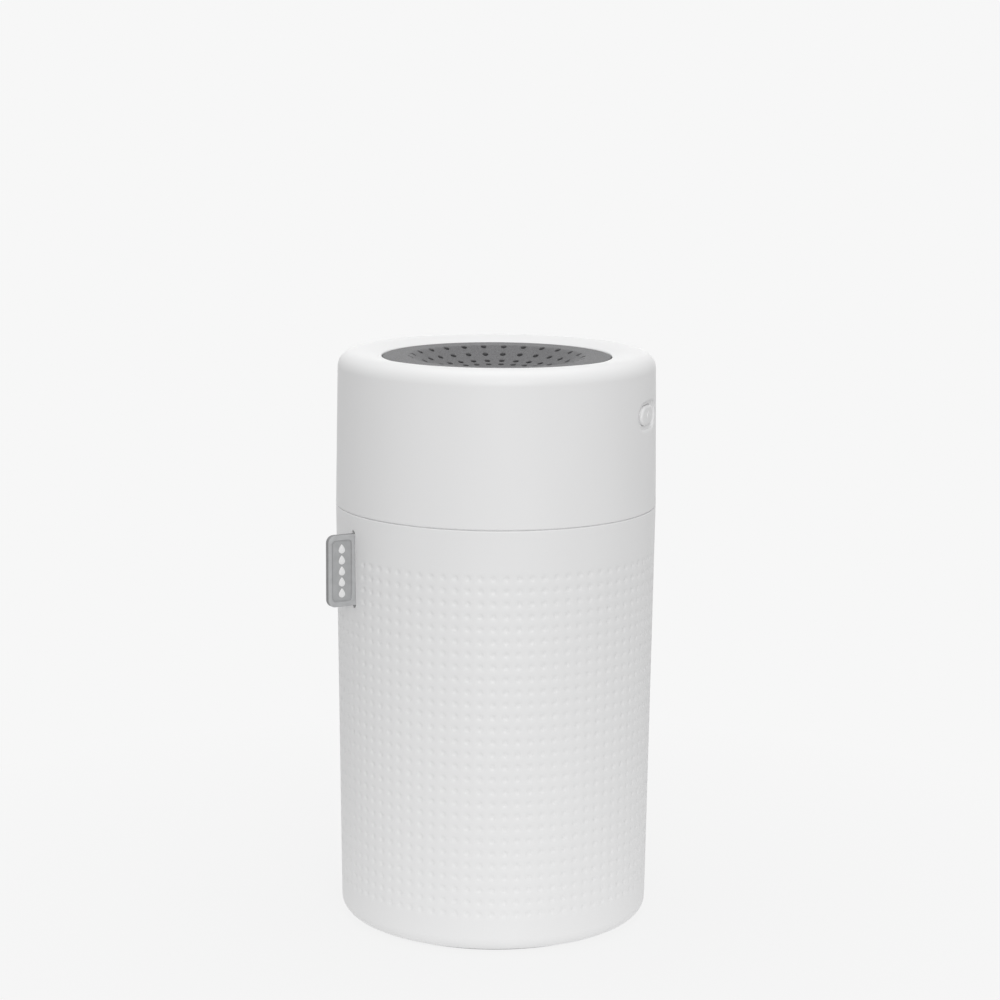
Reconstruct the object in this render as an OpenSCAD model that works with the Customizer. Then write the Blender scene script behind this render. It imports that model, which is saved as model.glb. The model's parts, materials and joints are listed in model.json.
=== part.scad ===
// Cool mist humidifier: a double-walled water tank with a plug-in head.
// The head draws water up a wick to an ultrasonic plate and blows the mist out through a dished grille.
// Origin: centre of the face that it stands on. +Z is up, and -Y is the front.
// Angles go round from the front (-Y) towards +X, so 90 is the right side and 180 is the back.

/* [Body] */
// Outer diameter at the seam between the tank and the head
body_d = 90; // [89.6:0.1:91]
// Height of the tank, from the resting plane to the seam
tank_h = 118.9; // [110:0.1:130]
// Height of the head, from the seam to the crest of the rim
head_h = 42.7; // [42.5:0.1:44]
// Thickness of the outer walls
wall = 2.2; // [2:0.1:2.3]
// Radius lost from the seam down to the base
tank_draft = 1.5; // [1:0.1:1.6]
// Radius lost from the seam up to the shoulder
head_draft = 0.6; // [0.5:0.1:0.9]
// Width of the groove at the seam
seam_gap = 0.4; // [0.3:0.1:0.6]
// Fillet round the foot of the tank
foot_fillet = 4; // [3:0.1:4.4]
// Fillet of the head's shoulder
shoulder_r = 4.4; // [4.2:0.1:4.8]
// Height of the soft pad below the tank's floor
pad_lift = 0.8; // [0.6:0.1:1]

/* [Grille] */
// Radius of the opening inside the rim
opening_r = 32.2; // [32:0.1:32.4]
// Depth of the dish below the level band round it
dish_depth = 4.9; // [4.6:0.1:5]
// Holes in each ring
holes_per_ring = 26; // [20:1:30]
// Diameter of one hole
hole_d = 1.6; // [1.2:0.1:1.8]
// Thickness of the grille
grille_t = 1.2; // [1:0.1:1.3]
// Bore of the mist outlet
outlet_d = 8; // [7.6:0.2:8.4]

/* [Tag] */
// How far the tag stands out of the sleeve
tag_reach = 8.1; // [7:0.1:12]
// Height of the tag
tag_h = 20; // [18:0.1:21]
// Thickness of the tag
tag_t = 1.8; // [1.6:0.1:2.4]
// Direction in which the tag stands out
tag_angle = -60.5; // [-80:0.5:-40]

/* [Button] */
// Width of the button's cap
button_w = 9.6; // [9:0.1:10.4]
// Height of the button's cap
button_h = 5.4; // [5:0.1:5.8]
// Height of the button's centre above the seam
button_rise = 27; // [26:0.1:27.5]
// Direction that the button faces
button_angle = 70; // [60:1:80]

/* [Water feed] */
// Wall thickness of the water cup
cup_wall = 1.8; // [1.4:0.1:2]
// Diameter of the wick
wick_d = 8; // [7:0.2:8.2]
// Wall thickness of the wick tube
tube_wall = 1.8; // [1.6:0.1:1.8]
// Gap between the wick cap and the floor of the cup
cap_gap = 1.6; // [1.2:0.1:3]

/* [Hidden] */

$fn = 96;
// Overlap that keeps cuts and joins free of coincident faces
eps = 0.01;
// Gap left between parts that are pushed together
slip = 0.1;
// Gap left round parts that move past each other
clear = 0.3;

// Outer shells
seam_r = body_d / 2;
base_r = seam_r - tank_draft;
shoulder_z = tank_h + head_h - shoulder_r;
shoulder_wall_r = seam_r - head_draft;
crest_r = shoulder_wall_r - shoulder_r;
top_z = tank_h + head_h;
sleeve_top = tank_h - seam_gap / 2;
shell_bottom = tank_h + seam_gap / 2;
edge_break = 0.35;

// Tank: the cup hangs by its flange from a rebate inside the sleeve
floor_t = 2.2;
pad_r = 38.5;
pad_w = 6.5;
pad_groove = 0.8;
rebate_h = 2.9;
rebate_r = seam_r - 1.5;
flange_t = 1.6;
cup_flange_z = sleeve_top - rebate_h;
cup_gap = 1.0;
cup_top_r = seam_r - wall - cup_gap;
cup_lift = 3;
cup_bottom = pad_lift + floor_t + cup_lift;
cup_draft = 1.4;
cup_bottom_r = cup_top_r - cup_draft;
cup_floor = cup_bottom + 2;
cup_in_r = cup_top_r - cup_wall;
fill_line_z = tank_h - 24;

// Rim and grille
lip_r = 0.8;
lip_drop = 1.2;
rim_fall = 1.4;
crown_steps = 4;
lip_z = top_z - lip_drop;
skirt_r = opening_r + 2.4;
ledge_r = opening_r - 1.6;
ledge_top = lip_z - 3;
ledge_bottom = lip_z - 4.6;
grille_edge_r = opening_r - 0.2;
grille_edge_z = lip_z - 0.2;
dish_r = 24.5;
dish_flat_r = 9;
// The section turns between two rings of holes, so that no hole crosses an edge
dish_turns = [9, 12.8, 15.85, 18.9, 22.4, 25.9];
ring_radii = [24.1, 20.7, 17.1, 14.6];
hole_phase = 9.2;
outlet_r = outlet_d / 2;
outlet_wall = 1.4;
outlet_out_r = outlet_r + outlet_wall;
centre_hole_r = outlet_out_r + 0.3;
tray_gap = 0.5;
tray_t = 1.2;
tray_edge_r = ledge_r - clear;

// Head base: its flange rests on the cup, its spigot plugs into it
plate_bottom = shell_bottom - slip;
plate_t = 2;
plate_top = plate_bottom + plate_t;
rest_z = cup_flange_z + flange_t + slip;
base_flange_r = rebate_r - clear;
base_plate_r = seam_r - wall - 0.5;
spigot_r = cup_in_r - 0.7;
spigot_wall = 1.3;
spigot_bottom = plate_bottom - 12.6;
seal_z = spigot_bottom + 5.5;
seal_section_r = 0.95;
seal_r = spigot_r - 0.5;

// Water feed, all on the centre line
wick_r = wick_d / 2;
tube_in_r = wick_r + 0.4;
tube_r = tube_in_r + tube_wall;
socket_r = tube_r + 0.2;
socket_bottom = plate_bottom - 11.6;
tube_top = plate_bottom - 1.6;
cap_bottom = cup_floor + cap_gap;
cap_floor_t = 1.4;
cap_h = 5.4;
tube_bottom = cap_bottom + cap_floor_t;
spring_h = 7;
wick_bottom = tube_bottom + spring_h;
tube_seal_r = tube_r - 0.45;
tube_seal_section_r = 0.6;
tube_seal_z = tube_top - 3;
chimney_r = wick_r + 2.4;
chimney_bore_r = wick_r + 0.6;

// Ultrasonic plate, clamped on top of the chimney
seat_floor = plate_top + 23.4;
seat_top = seat_floor + 3.4;
seat_r = 12;
gasket_r = 10;
gasket_bore_r = wick_r + 0.8;
disc_r = 8;
disc_t = 0.4;
disc_z = seat_floor + 1.6;
piezo_t = 0.5;
clamp_t = 1.6;
ear_r = 14;
ear_boss_r = 2.6;
ear_angles = [0, 120, 240];
lead_channel = 3.2;

// Light ring
led_ring_in = 18.5;
led_ring_out = 27;
led_ring_mid = (led_ring_in + led_ring_out) / 2;
led_board_z = seat_top + 1.2;
board_t = 1.2;
led_count = 8;
led_post_angles = [45, 135, 225, 315];

// Electronics
post_h = 2.6;
main_z = plate_top + post_h;
main_top = main_z + board_t;
main_half_w = 16;
main_in = 14;
main_out = 40;
main_post_x = 12.5;
main_post_ys = [17, 34];
usb_w = 8.94;
usb_h = 3.26;
usb_depth = 7.35;
usb_wall = 0.35;
usb_inset = 0.9;
usb_z = main_top + usb_h / 2;
usb_mouth = seam_r - head_draft * (usb_z - tank_h) / (shoulder_z - tank_h) - usb_inset;
battery_size = [10, 48, 25];
battery_in = 19;
battery_z = plate_top + 1.4;
boss_r = 2.8;
boss_ring_r = 35;
boss_angles = [35, 145, 215, 325];
screw_r = 1.25;

// Button: the cap slides towards the axis and pushes the switch plunger
button_z = tank_h + button_rise;
button_wall_r = seam_r - head_draft * button_rise / (shoulder_z - tank_h);
recess_w = button_w + 4.8;
recess_h = button_h + 2.2;
recess_depth = 0.8;
cap_r = button_wall_r - 0.05;
keeper_r = button_wall_r - wall - clear;
keeper_t = 0.9;
stem_end = 39.9;
plunger_in = 37.9;
plunger_r = 1.6;
switch_size = 6;
switch_in = 34.9;
switch_out = 38.4;
button_board_w = 16;

// Tag
tag_top = tank_h - 5.4;
tag_corner = 2.1;
tag_rim = 1;
tag_border = 1.4;
tag_panel_depth = 0.3;
tag_wall_r = base_r + tank_draft * (tag_top - tag_h / 2) / tank_h;
tag_foot_t = 1.6;
tag_foot_w = 6;
// Length of the slot left open above and below the tag
slot_spare = 0.9;
tag_mark_count = 5;

// Internal wires
lead_r = 0.4;
lead_steps = 5;
lead_sides = 8;

// ---------- helpers ----------

// Turns a part that is drawn along +X so that it faces the given direction
module facing(angle) {
    rotate([0, 0, angle - 90])
        children();
}

// A tube or washer between two heights
module tube(r_out, r_in, z_low, z_high) {
    translate([0, 0, z_low])
        difference() {
            cylinder(r = r_out, h = z_high - z_low);
            translate([0, 0, -1])
                cylinder(r = r_in, h = z_high - z_low + 2);
        }
}

// A rod along the Z axis between two heights
module rod(r, z_low, z_high) {
    translate([0, 0, z_low])
        cylinder(r = r, h = z_high - z_low);
}

// A ring of round section
module o_ring(ring_r, section_r, z) {
    translate([0, 0, z])
        rotate_extrude()
            translate([ring_r, 0])
                circle(r = section_r, $fn = 32);
}

// A flat outline with round ends: w across, h high
module stadium(w, h) {
    square([w - h, h], center = true);
    for (side = [-1, 1])
        translate([side * (w - h) / 2, 0])
            circle(d = h);
}

// A stadium pushed out along +X between two radii
module stadium_plug(w, h, x_in, x_out) {
    translate([x_in, 0, 0])
        rotate([90, 0, 90])
            linear_extrude(x_out - x_in)
                stadium(w, h);
}

// A rectangle with round corners, from the origin towards +X, centred in Y
module rounded_rect(w, h, r) {
    translate([0, -h / 2 + r])
        square([w, h - 2 * r]);
    translate([r, -h / 2])
        square([w - 2 * r, h]);
    for (x = [r, w - r])
        for (y = [-1, 1])
            translate([x, y * (h / 2 - r)])
                circle(r = r, $fn = 48);
}

// A pan-head screw that points up from the given height
module screw(shank_r, head_r, head_t, length) {
    translate([0, 0, -head_t])
        difference() {
            cylinder(r = head_r, h = head_t, $fn = 48);
            for (turn = [0, 90])
                rotate([0, 0, turn])
                    translate([-head_r * 0.6, -0.25, -1])
                        cube([head_r * 1.2, 0.5, 1 + head_t * 0.4]);
        }
    translate([0, 0, -eps])
        cylinder(r = shank_r, h = length + eps, $fn = 32);
}

// Outer radius of the sleeve at a height
function sleeve_r(z) = base_r + tank_draft * z / tank_h;

// Outer radius of the head shell at a height
function shell_r(z) = seam_r - head_draft * (z - tank_h) / (shoulder_z - tank_h);

// Height of the rim, which falls from its crest in to the opening
function crown_z(r) = top_z - rim_fall * pow((crest_r - r) / (crest_r - opening_r), 2);

// Outer radius of the water cup at a height
function cup_r(z) = cup_bottom_r + cup_draft * (z - cup_bottom) / (cup_flange_z - cup_bottom);

// Height of the grille's upper face at a radius: a level band, then a bowl with a level middle
function dish_share(r) = min(max((r - dish_flat_r) / (dish_r - dish_flat_r), 0), 1);
function dish_z(r) = grille_edge_z - dish_depth * (1 - pow(dish_share(r), 2));
dish_floor_z = dish_z(dish_turns[0]);

// Section of a dish of one thickness, lowered below the grille's upper face, with a skirt round it
module dish_section(r_in, r_out, drop, thickness, skirt_t, skirt_z) {
    top = dish_floor_z - drop;
    last = len(dish_turns) - 1;
    upper = [for (r = concat(dish_turns, [r_out])) [r, dish_z(r) - drop]];
    lower = [for (i = [last : -1 : 0]) [dish_turns[i], dish_z(dish_turns[i]) - drop - thickness]];
    skirt = [[r_out, skirt_z], [r_out - skirt_t, skirt_z],
        [r_out - skirt_t, dish_z(r_out - skirt_t) - drop - thickness]];
    polygon(concat([[r_in, top - thickness], [r_in, top]], upper, skirt, lower));
}

// Points of a smooth curve through the given points
function blend(p, i, t) =
    let (a = p[max(i - 1, 0)], b = p[i], c = p[i + 1], d = p[min(i + 2, len(p) - 1)])
    0.5 * (2 * b + (c - a) * t + (2 * a - 5 * b + 4 * c - d) * t * t
        + (3 * b - a - 3 * c + d) * t * t * t);
function smooth_route(p) = concat(
    [for (i = [0 : len(p) - 2]) for (k = [0 : lead_steps - 1]) blend(p, i, k / lead_steps)],
    [p[len(p) - 1]]);
function unit(v) = v / norm(v);
function heading(p, i) = unit(p[min(i + 1, len(p) - 1)] - p[max(i - 1, 0)]);

// A round wire swept along a list of points, which never head along the datum direction
module wire(points, r, sides, datum) {
    n = len(points);
    rings = [for (i = [0 : n - 1])
        let (d = heading(points, i), u = unit(cross(d, datum)), v = cross(d, u))
        for (k = [0 : sides - 1])
            points[i] + r * (cos(360 * k / sides) * u + sin(360 * k / sides) * v)];
    walls = [for (i = [0 : n - 2]) for (k = [0 : sides - 1])
        [i * sides + k, i * sides + (k + 1) % sides,
            (i + 1) * sides + (k + 1) % sides, (i + 1) * sides + k]];
    start_cap = [for (k = [sides - 1 : -1 : 0]) k];
    end_cap = [for (k = [0 : sides - 1]) (n - 1) * sides + k];
    polyhedron(rings, concat(walls, [start_cap], [end_cap]), convexity = 6);
}

// ---------- tank ----------

module outer_sleeve() {
    fillet_r = sleeve_r(pad_lift + foot_fillet) - foot_fillet;
    foot_z = pad_lift + foot_fillet;
    inner_bottom_r = sleeve_r(foot_z) - wall;
    color("whitesmoke")
        difference() {
            union() {
                rotate_extrude() {
                    translate([0, pad_lift])
                        square([fillet_r + eps, floor_t]);
                    polygon([
                        [fillet_r + foot_fillet, foot_z - eps], [seam_r, sleeve_top - edge_break],
                        [seam_r - edge_break, sleeve_top], [rebate_r, sleeve_top],
                        [rebate_r, cup_flange_z], [seam_r - wall, cup_flange_z],
                        [inner_bottom_r, foot_z - eps]]);
                    intersection() {
                        translate([fillet_r, foot_z])
                            circle(r = foot_fillet);
                        translate([fillet_r, pad_lift])
                            square(foot_fillet);
                    }
                }
                tube(31, 27, pad_lift + floor_t - eps, cup_bottom);
            }
            tube(pad_r + slip / 2, pad_r - pad_w - slip / 2, 0, pad_lift + pad_groove);
            facing(tag_angle)
                tag_slot();
        }
}

// Slot for the tag, with a pocket behind it for the tag's foot
module tag_slot() {
    slot_w = tag_t + 2 * slip;
    pocket_r = tag_wall_r - 1.1;
    translate([tag_wall_r - 4, -slot_w / 2, tag_top - tag_h - slot_spare])
        cube([8, slot_w, tag_h + 2 * slot_spare]);
    translate([pocket_r - 5, -tag_foot_w / 2 - slip, tag_top - tag_h - slot_spare - 0.6])
        cube([5, tag_foot_w + 2 * slip, tag_h + 2 * slot_spare + 1.2]);
}

module tank_cup() {
    color("gainsboro", 0.8)
        difference() {
            union() {
                rod(cup_bottom_r - 1, cup_bottom, cup_bottom + 1 + eps);
                rotate_extrude()
                    polygon([
                        [0, cup_bottom + 1], [cup_bottom_r - 1, cup_bottom], [cup_bottom_r, cup_bottom + 1],
                        [cup_top_r, cup_flange_z], [rebate_r - slip, cup_flange_z],
                        [rebate_r - slip, cup_flange_z + flange_t], [0, cup_flange_z + flange_t]]);
            }
            cup_hollow();
        }
}

// Space for the water, with a small step all round that marks the fill line
module cup_hollow() {
    floor_r = cup_bottom_r - cup_wall;
    line_r = cup_r(fill_line_z) - cup_wall;
    rotate_extrude()
        polygon([
            [0, cup_floor], [floor_r - 2, cup_floor], [floor_r, cup_floor + 2],
            [line_r - 0.4, fill_line_z - 0.4], [line_r - 0.4, fill_line_z + 0.4],
            [line_r, fill_line_z + 0.8],
            [cup_in_r, cup_flange_z], [cup_in_r, sleeve_top], [0, sleeve_top]]);
}

module base_pad() {
    color("dimgray")
        tube(pad_r, pad_r - pad_w, 0, pad_lift + pad_groove - slip / 2);
}

// The tag stands on edge: its faces look along the wall, and its foot sits behind the slot
module side_tag() {
    foot_x = tag_wall_r - 1.2;
    color("darkgray")
        facing(tag_angle)
            difference() {
                union() {
                    translate([foot_x - eps, tag_t / 2, tag_top - tag_h / 2])
                        rotate([90, 0, 0])
                            linear_extrude(tag_t)
                                tag_outline(tag_wall_r - foot_x + tag_reach, tag_h);
                    translate([foot_x - tag_foot_t, -tag_foot_w / 2, tag_top - tag_h - 0.5])
                        cube([tag_foot_t, tag_foot_w, tag_h + 1]);
                }
                for (face = [-1, 1])
                    translate([tag_wall_r + tag_rim, face * tag_t / 2 + tag_panel_depth, tag_top - tag_h / 2])
                        rotate([90, 0, 0])
                            linear_extrude(2 * tag_panel_depth)
                                rounded_rect(tag_reach - 2 * tag_rim, tag_h - 2 * tag_border, 1);
            }
}

// Square against the sleeve, round at the two outer corners
module tag_outline(w, h) {
    translate([0, -h / 2])
        square([w - tag_corner, h]);
    translate([0, -h / 2 + tag_corner])
        square([w, h - 2 * tag_corner]);
    for (y = [-1, 1])
        translate([w - tag_corner, y * (h / 2 - tag_corner)])
            circle(r = tag_corner, $fn = 48);
}

// Five plain drops in a column on the face that looks forwards
module tag_marks() {
    pitch = (tag_h - 2 * tag_border) / (tag_mark_count + 0.6);
    panel_mid = tag_wall_r + tag_reach / 2;
    color("white")
        facing(tag_angle)
            for (i = [0 : tag_mark_count - 1])
                translate([panel_mid, tag_t / 2 - tag_panel_depth,
                        tag_top - tag_h / 2 + (i - (tag_mark_count - 1) / 2) * pitch])
                    rotate([-90, 0, 0])
                        cylinder(r = 1, h = tag_panel_depth, $fn = 32);
}

// ---------- head shell and grille ----------

module head_shell() {
    color("white")
        difference() {
            union() {
                rotate_extrude()
                    shell_section();
                for (angle = boss_angles)
                    facing(angle)
                        translate([boss_ring_r, 0, 0])
                            rod(boss_r, plate_top + slip, top_z - wall);
            }
            for (angle = boss_angles)
                facing(angle)
                    translate([boss_ring_r, 0, 0])
                        rod(screw_r + 0.05, plate_top - 1, plate_top + 10);
            facing(180)
                usb_hole();
            facing(button_angle)
                button_hole();
        }
}

// Wall, round shoulder, top band, lip and the ledge that holds the grille
module shell_section() {
    bottom_r = shell_r(shell_bottom);
    polygon([
        [bottom_r - wall, shell_bottom], [bottom_r - edge_break, shell_bottom],
        [bottom_r, shell_bottom + edge_break], [shoulder_wall_r, shoulder_z],
        [shoulder_wall_r - wall, shoulder_z]]);
    intersection() {
        translate([crest_r, shoulder_z])
            difference() {
                circle(r = shoulder_r);
                circle(r = shoulder_r - wall);
            }
        translate([crest_r, shoulder_z])
            square(shoulder_r);
    }
    crown_in_r = opening_r + 0.7 * lip_r;
    crown_run = crest_r - crown_in_r;
    polygon(concat(
        [[crown_in_r, lip_z - wall], [crest_r, top_z - wall]],
        [for (i = [0 : crown_steps])
            [crest_r - crown_run * i / crown_steps, crown_z(crest_r - crown_run * i / crown_steps)]]));
    translate([opening_r + lip_r, lip_z - lip_r])
        circle(r = lip_r, $fn = 64);
    translate([opening_r, ledge_bottom])
        square([skirt_r - opening_r, lip_z - lip_r - ledge_bottom]);
    translate([ledge_r, ledge_bottom])
        square([opening_r - ledge_r + eps, ledge_top - ledge_bottom]);
}

// Port for the charging socket, with a shallow recess for the plug's grip
module usb_hole() {
    translate([0, 0, usb_z]) {
        stadium_plug(usb_w + 0.4, usb_h + 0.4, seam_r - wall - 2, seam_r + 1);
        stadium_plug(12.4, 6.8, usb_mouth, seam_r + 1);
    }
}

// Opening and recess for the button
module button_hole() {
    translate([0, 0, button_z]) {
        stadium_plug(button_w + 2 * clear, button_h + 2 * clear, keeper_r - 2, seam_r + 1);
        difference() {
            stadium_plug(recess_w, recess_h, button_wall_r - 4, seam_r + 1);
            translate([0, 0, -recess_h])
                cylinder(r = button_wall_r - recess_depth, h = 2 * recess_h);
        }
    }
}

module grille() {
    color("darkgray")
        difference() {
            rotate_extrude()
                dish_section(centre_hole_r, grille_edge_r, 0, grille_t, 1, ledge_top);
            for (r = ring_radii)
                for (i = [0 : holes_per_ring - 1])
                    facing(hole_phase + 360 * i / holes_per_ring)
                        translate([r, 0, dish_floor_z - 2])
                            cylinder(d = hole_d, h = dish_depth + 4, $fn = 24);
        }
}

// Tray of one thickness below the grille, with posts for the light ring
module light_diffuser() {
    tray_drop = grille_t + tray_gap;
    foot_z = ledge_bottom - tray_t - slip;
    post_top = dish_z(led_ring_mid) - tray_drop - tray_t / 2;
    color("white", 0.7) {
        rotate_extrude() {
            dish_section(centre_hole_r, tray_edge_r, tray_drop, tray_t, tray_t, foot_z);
            translate([tray_edge_r - tray_t / 2, foot_z])
                square([opening_r - tray_edge_r + tray_t / 2 - 0.2, tray_t]);
        }
        for (angle = led_post_angles)
            facing(angle)
                translate([led_ring_mid, 0, 0])
                    tube(2, 0.85, led_board_z + board_t, post_top);
    }
}

// Short spout in the middle of the grille: a low round-edged flange on a straight bore
module nozzle_ring() {
    flange_z = dish_floor_z + slip;
    flange_r = outlet_out_r + 1.6;
    flange_t = 0.5;
    edge_r = flange_t / 2;
    color("gray")
        rotate_extrude() {
            translate([outlet_r, seat_top + clamp_t])
                square([outlet_wall, flange_z + edge_r - seat_top - clamp_t]);
            translate([outlet_r + edge_r, flange_z])
                square([flange_r - outlet_r - flange_t, flange_t]);
            for (r = [outlet_r + edge_r, flange_r - edge_r])
                translate([r, flange_z + edge_r])
                    circle(r = edge_r, $fn = 32);
        }
}

// ---------- head base ----------

module head_base() {
    color("whitesmoke")
        difference() {
            union() {
                tube(base_plate_r, chimney_bore_r, plate_bottom, plate_top);
                tube(base_flange_r, spigot_r - spigot_wall, rest_z, plate_bottom + eps);
                tube(spigot_r, spigot_r - spigot_wall, spigot_bottom, plate_bottom + eps);
                tube(spigot_r, spigot_r - 2.8, seal_z - 2, seal_z + 2);
                tube(socket_r + 1.6, socket_r, socket_bottom, plate_bottom + eps);
                rod(chimney_r, plate_bottom, seat_floor);
                rod(seat_r, seat_floor - 2.4, seat_top);
                ear_posts();
                board_posts();
                battery_rails();
                button_rails();
            }
            rod(chimney_bore_r, spigot_bottom, seat_top);
            rod(gasket_r + slip, seat_floor, seat_top + 1);
            tube(spigot_r + 1, seal_r - seal_section_r, seal_z - 1.1, seal_z + 1.1);
            translate([-lead_channel / 2, 0, seat_top - 1.4])
                cube([lead_channel, seat_r + 1, 2]);
            for (angle = ear_angles)
                facing(angle)
                    translate([ear_r, 0, 0])
                        rod(0.85, seat_top - 6, seat_top + 1);
            for (angle = boss_angles)
                facing(angle)
                    translate([boss_ring_r, 0, 0])
                        rod(1.5, plate_bottom - 1, plate_top + 1);
            at_board_posts()
                rod(0.85, plate_top + 0.4, main_z + 1);
        }
}

module ear_posts() {
    for (angle = ear_angles)
        facing(angle) {
            translate([ear_r, 0, 0])
                rod(ear_boss_r, seat_top - 8, seat_top);
            translate([seat_r - 2, -ear_boss_r, seat_top - 8])
                cube([ear_r - seat_r + 2, 2 * ear_boss_r, 8]);
        }
}

module at_board_posts() {
    for (x = [-main_post_x, main_post_x])
        for (y = main_post_ys)
            translate([x, y, 0])
                children();
}

module board_posts() {
    at_board_posts()
        rod(2, plate_top - eps, main_z);
}

// Low walls on both sides of the battery
module battery_rails() {
    for (x = [battery_in - 1.2 - slip, battery_in + battery_size.x + slip])
        translate([-x - 1.2, -15, plate_top - eps])
            cube([1.2, 30, 8]);
}

// Two grooved posts that hold the button's board upright
module button_rails() {
    facing(button_angle)
        for (side = [-1, 1])
            translate([switch_in - board_t - 1.4, side * (button_board_w / 2 - 0.2) - 1.4, plate_top - eps])
                difference() {
                    cube([board_t + 2.8, 2.8, 18]);
                    translate([1.4 - slip, side > 0 ? -1 : 1.4 - 0.2 - slip, 1])
                        cube([board_t + 2 * slip, 2.6 + slip, 20]);
                }
}

module tank_seal() {
    color("dimgray")
        o_ring(seal_r, seal_section_r, seal_z);
}

module base_screws() {
    color("silver")
        for (angle = boss_angles)
            facing(angle)
                translate([boss_ring_r, 0, plate_bottom])
                    screw(screw_r, 2.3, 1.6, 10);
}

// ---------- water feed ----------

module wick_tube() {
    slot_w = 2.4;
    slot_h = 16;
    slot_pitch = 22;
    color("whitesmoke")
        difference() {
            tube(tube_r, tube_in_r, tube_bottom, tube_top);
            tube(tube_r + 1, tube_seal_r - tube_seal_section_r, tube_seal_z - 0.65, tube_seal_z + 0.65);
            for (level = [0 : 2])
                for (turn = [0, 90])
                    rotate([0, 0, turn])
                        translate([-slot_w / 2, -tube_r - 1, tube_bottom + 8 + level * slot_pitch])
                            cube([slot_w, 2 * tube_r + 2, slot_h]);
        }
}

module tube_seal() {
    color("dimgray")
        o_ring(tube_seal_r, tube_seal_section_r, tube_seal_z);
}

// Cap that snaps on the tube's foot, with four holes that let the water in
module wick_cap() {
    color("whitesmoke")
        difference() {
            rod(tube_r + 1.3, cap_bottom, cap_bottom + cap_h);
            rod(tube_r + slip, cap_bottom + cap_floor_t, cap_bottom + cap_h + 1);
            for (angle = [45 : 90 : 315])
                facing(angle)
                    translate([tube_in_r - 1.6, 0, 0])
                        rod(0.8, cap_bottom - 1, cap_bottom + 3);
        }
}

// Coil that keeps the wick pressed against the plate
module wick_spring() {
    coil_r = wick_r - 0.7;
    wire_r = 0.35;
    turns = 4;
    per_turn = 20;
    rise = spring_h - 2 * wire_r - 2 * slip;
    color("silver")
        wire([for (i = [0 : turns * per_turn])
            let (a = 360 * i / per_turn)
            [coil_r * cos(a), coil_r * sin(a),
                tube_bottom + wire_r + slip + rise * i / (turns * per_turn)]], wire_r, 6, [0, 0, 1]);
}

module wick() {
    color("ivory")
        rod(wick_r, wick_bottom, disc_z - slip);
}

// ---------- ultrasonic plate ----------

module atomizer_gasket() {
    color("lightgray")
        difference() {
            tube(gasket_r, gasket_bore_r, seat_floor, seat_top);
            rod(disc_r + slip, disc_z - slip / 2, disc_z + disc_t + piezo_t + slip / 2);
            translate([-lead_channel / 2, 0, disc_z + disc_t])
                cube([lead_channel, seat_r + 1, 4]);
        }
}

module atomizer_plate() {
    color("silver")
        rod(disc_r, disc_z, disc_z + disc_t);
}

module piezo_ring() {
    color("darkkhaki")
        tube(disc_r, gasket_bore_r, disc_z + disc_t, disc_z + disc_t + piezo_t);
}

module atomizer_clamp() {
    color("whitesmoke")
        difference() {
            union() {
                rod(seat_r, seat_top, seat_top + clamp_t);
                for (angle = ear_angles)
                    facing(angle) {
                        translate([ear_r, 0, 0])
                            rod(ear_boss_r, seat_top, seat_top + clamp_t);
                        translate([seat_r - 2, -ear_boss_r, seat_top])
                            cube([ear_r - seat_r + 2, 2 * ear_boss_r, clamp_t]);
                    }
            }
            rod(outlet_r - 0.4, seat_top - 1, seat_top + clamp_t + 1);
            for (angle = ear_angles)
                facing(angle)
                    translate([ear_r, 0, 0])
                        rod(1, seat_top - 1, seat_top + clamp_t + 1);
        }
}

module clamp_screws() {
    color("silver")
        for (angle = ear_angles)
            facing(angle)
                translate([ear_r, 0, seat_top + clamp_t])
                    mirror([0, 0, 1])
                        screw(0.8, 1.7, 1.2, 6);
}

// ---------- light ring ----------

module led_board() {
    color("white")
        difference() {
            tube(led_ring_out, led_ring_in, led_board_z, led_board_z + board_t);
            for (angle = led_post_angles)
                facing(angle)
                    translate([led_ring_mid, 0, 0])
                        rod(1, led_board_z - 1, led_board_z + board_t + 1);
        }
}

module leds() {
    color("lightyellow")
        for (i = [0 : led_count - 1])
            facing(360 * (i + 0.5) / led_count)
                translate([led_ring_mid - 1.75, -1.4, led_board_z + board_t]) {
                    cube([3.5, 2.8, 1.2]);
                    translate([1.75, 1.4, 1.2 - eps])
                        cylinder(r = 1.1, h = 0.5, $fn = 32);
                }
}

module led_screws() {
    color("silver")
        for (angle = led_post_angles)
            facing(angle)
                translate([led_ring_mid, 0, led_board_z])
                    screw(0.8, 1.6, 1, 3);
}

// ---------- electronics ----------

module main_board() {
    color("darkgreen")
        difference() {
            intersection() {
                translate([-main_half_w, main_in, main_z])
                    cube([2 * main_half_w, main_out - main_in, board_t]);
                rod(base_plate_r - 1.5, main_z - 1, main_top + 1);
            }
            at_board_posts()
                rod(1, main_z - 1, main_top + 1);
        }
}

module board_screws() {
    color("silver")
        at_board_posts()
            translate([0, 0, main_top])
                mirror([0, 0, 1])
                    screw(0.8, 1.6, 1, 3);
}

// Chips in their places on the board: x, y, width, depth and height
module control_chips() {
    chips = [[2.5, 23, 6, 6, 1.1], [-7, 31, 4, 4, 0.9], [4, 31, 3, 5, 1.2], [-6, 23.5, 3, 2, 0.8]];
    color("dimgray")
        for (chip = chips)
            translate([chip[0], chip[1], main_top])
                cube([chip[2], chip[3], chip[4]]);
}

// Wound coil that drives the ultrasonic plate: a drum between two cheeks
module driver_coil() {
    color("darkorange")
        translate([12, 26.5, main_top]) {
            cylinder(r = 3.5, h = 1);
            cylinder(r = 2.6, h = 5);
            translate([0, 0, 4])
                cylinder(r = 3.5, h = 1);
        }
}

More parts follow.
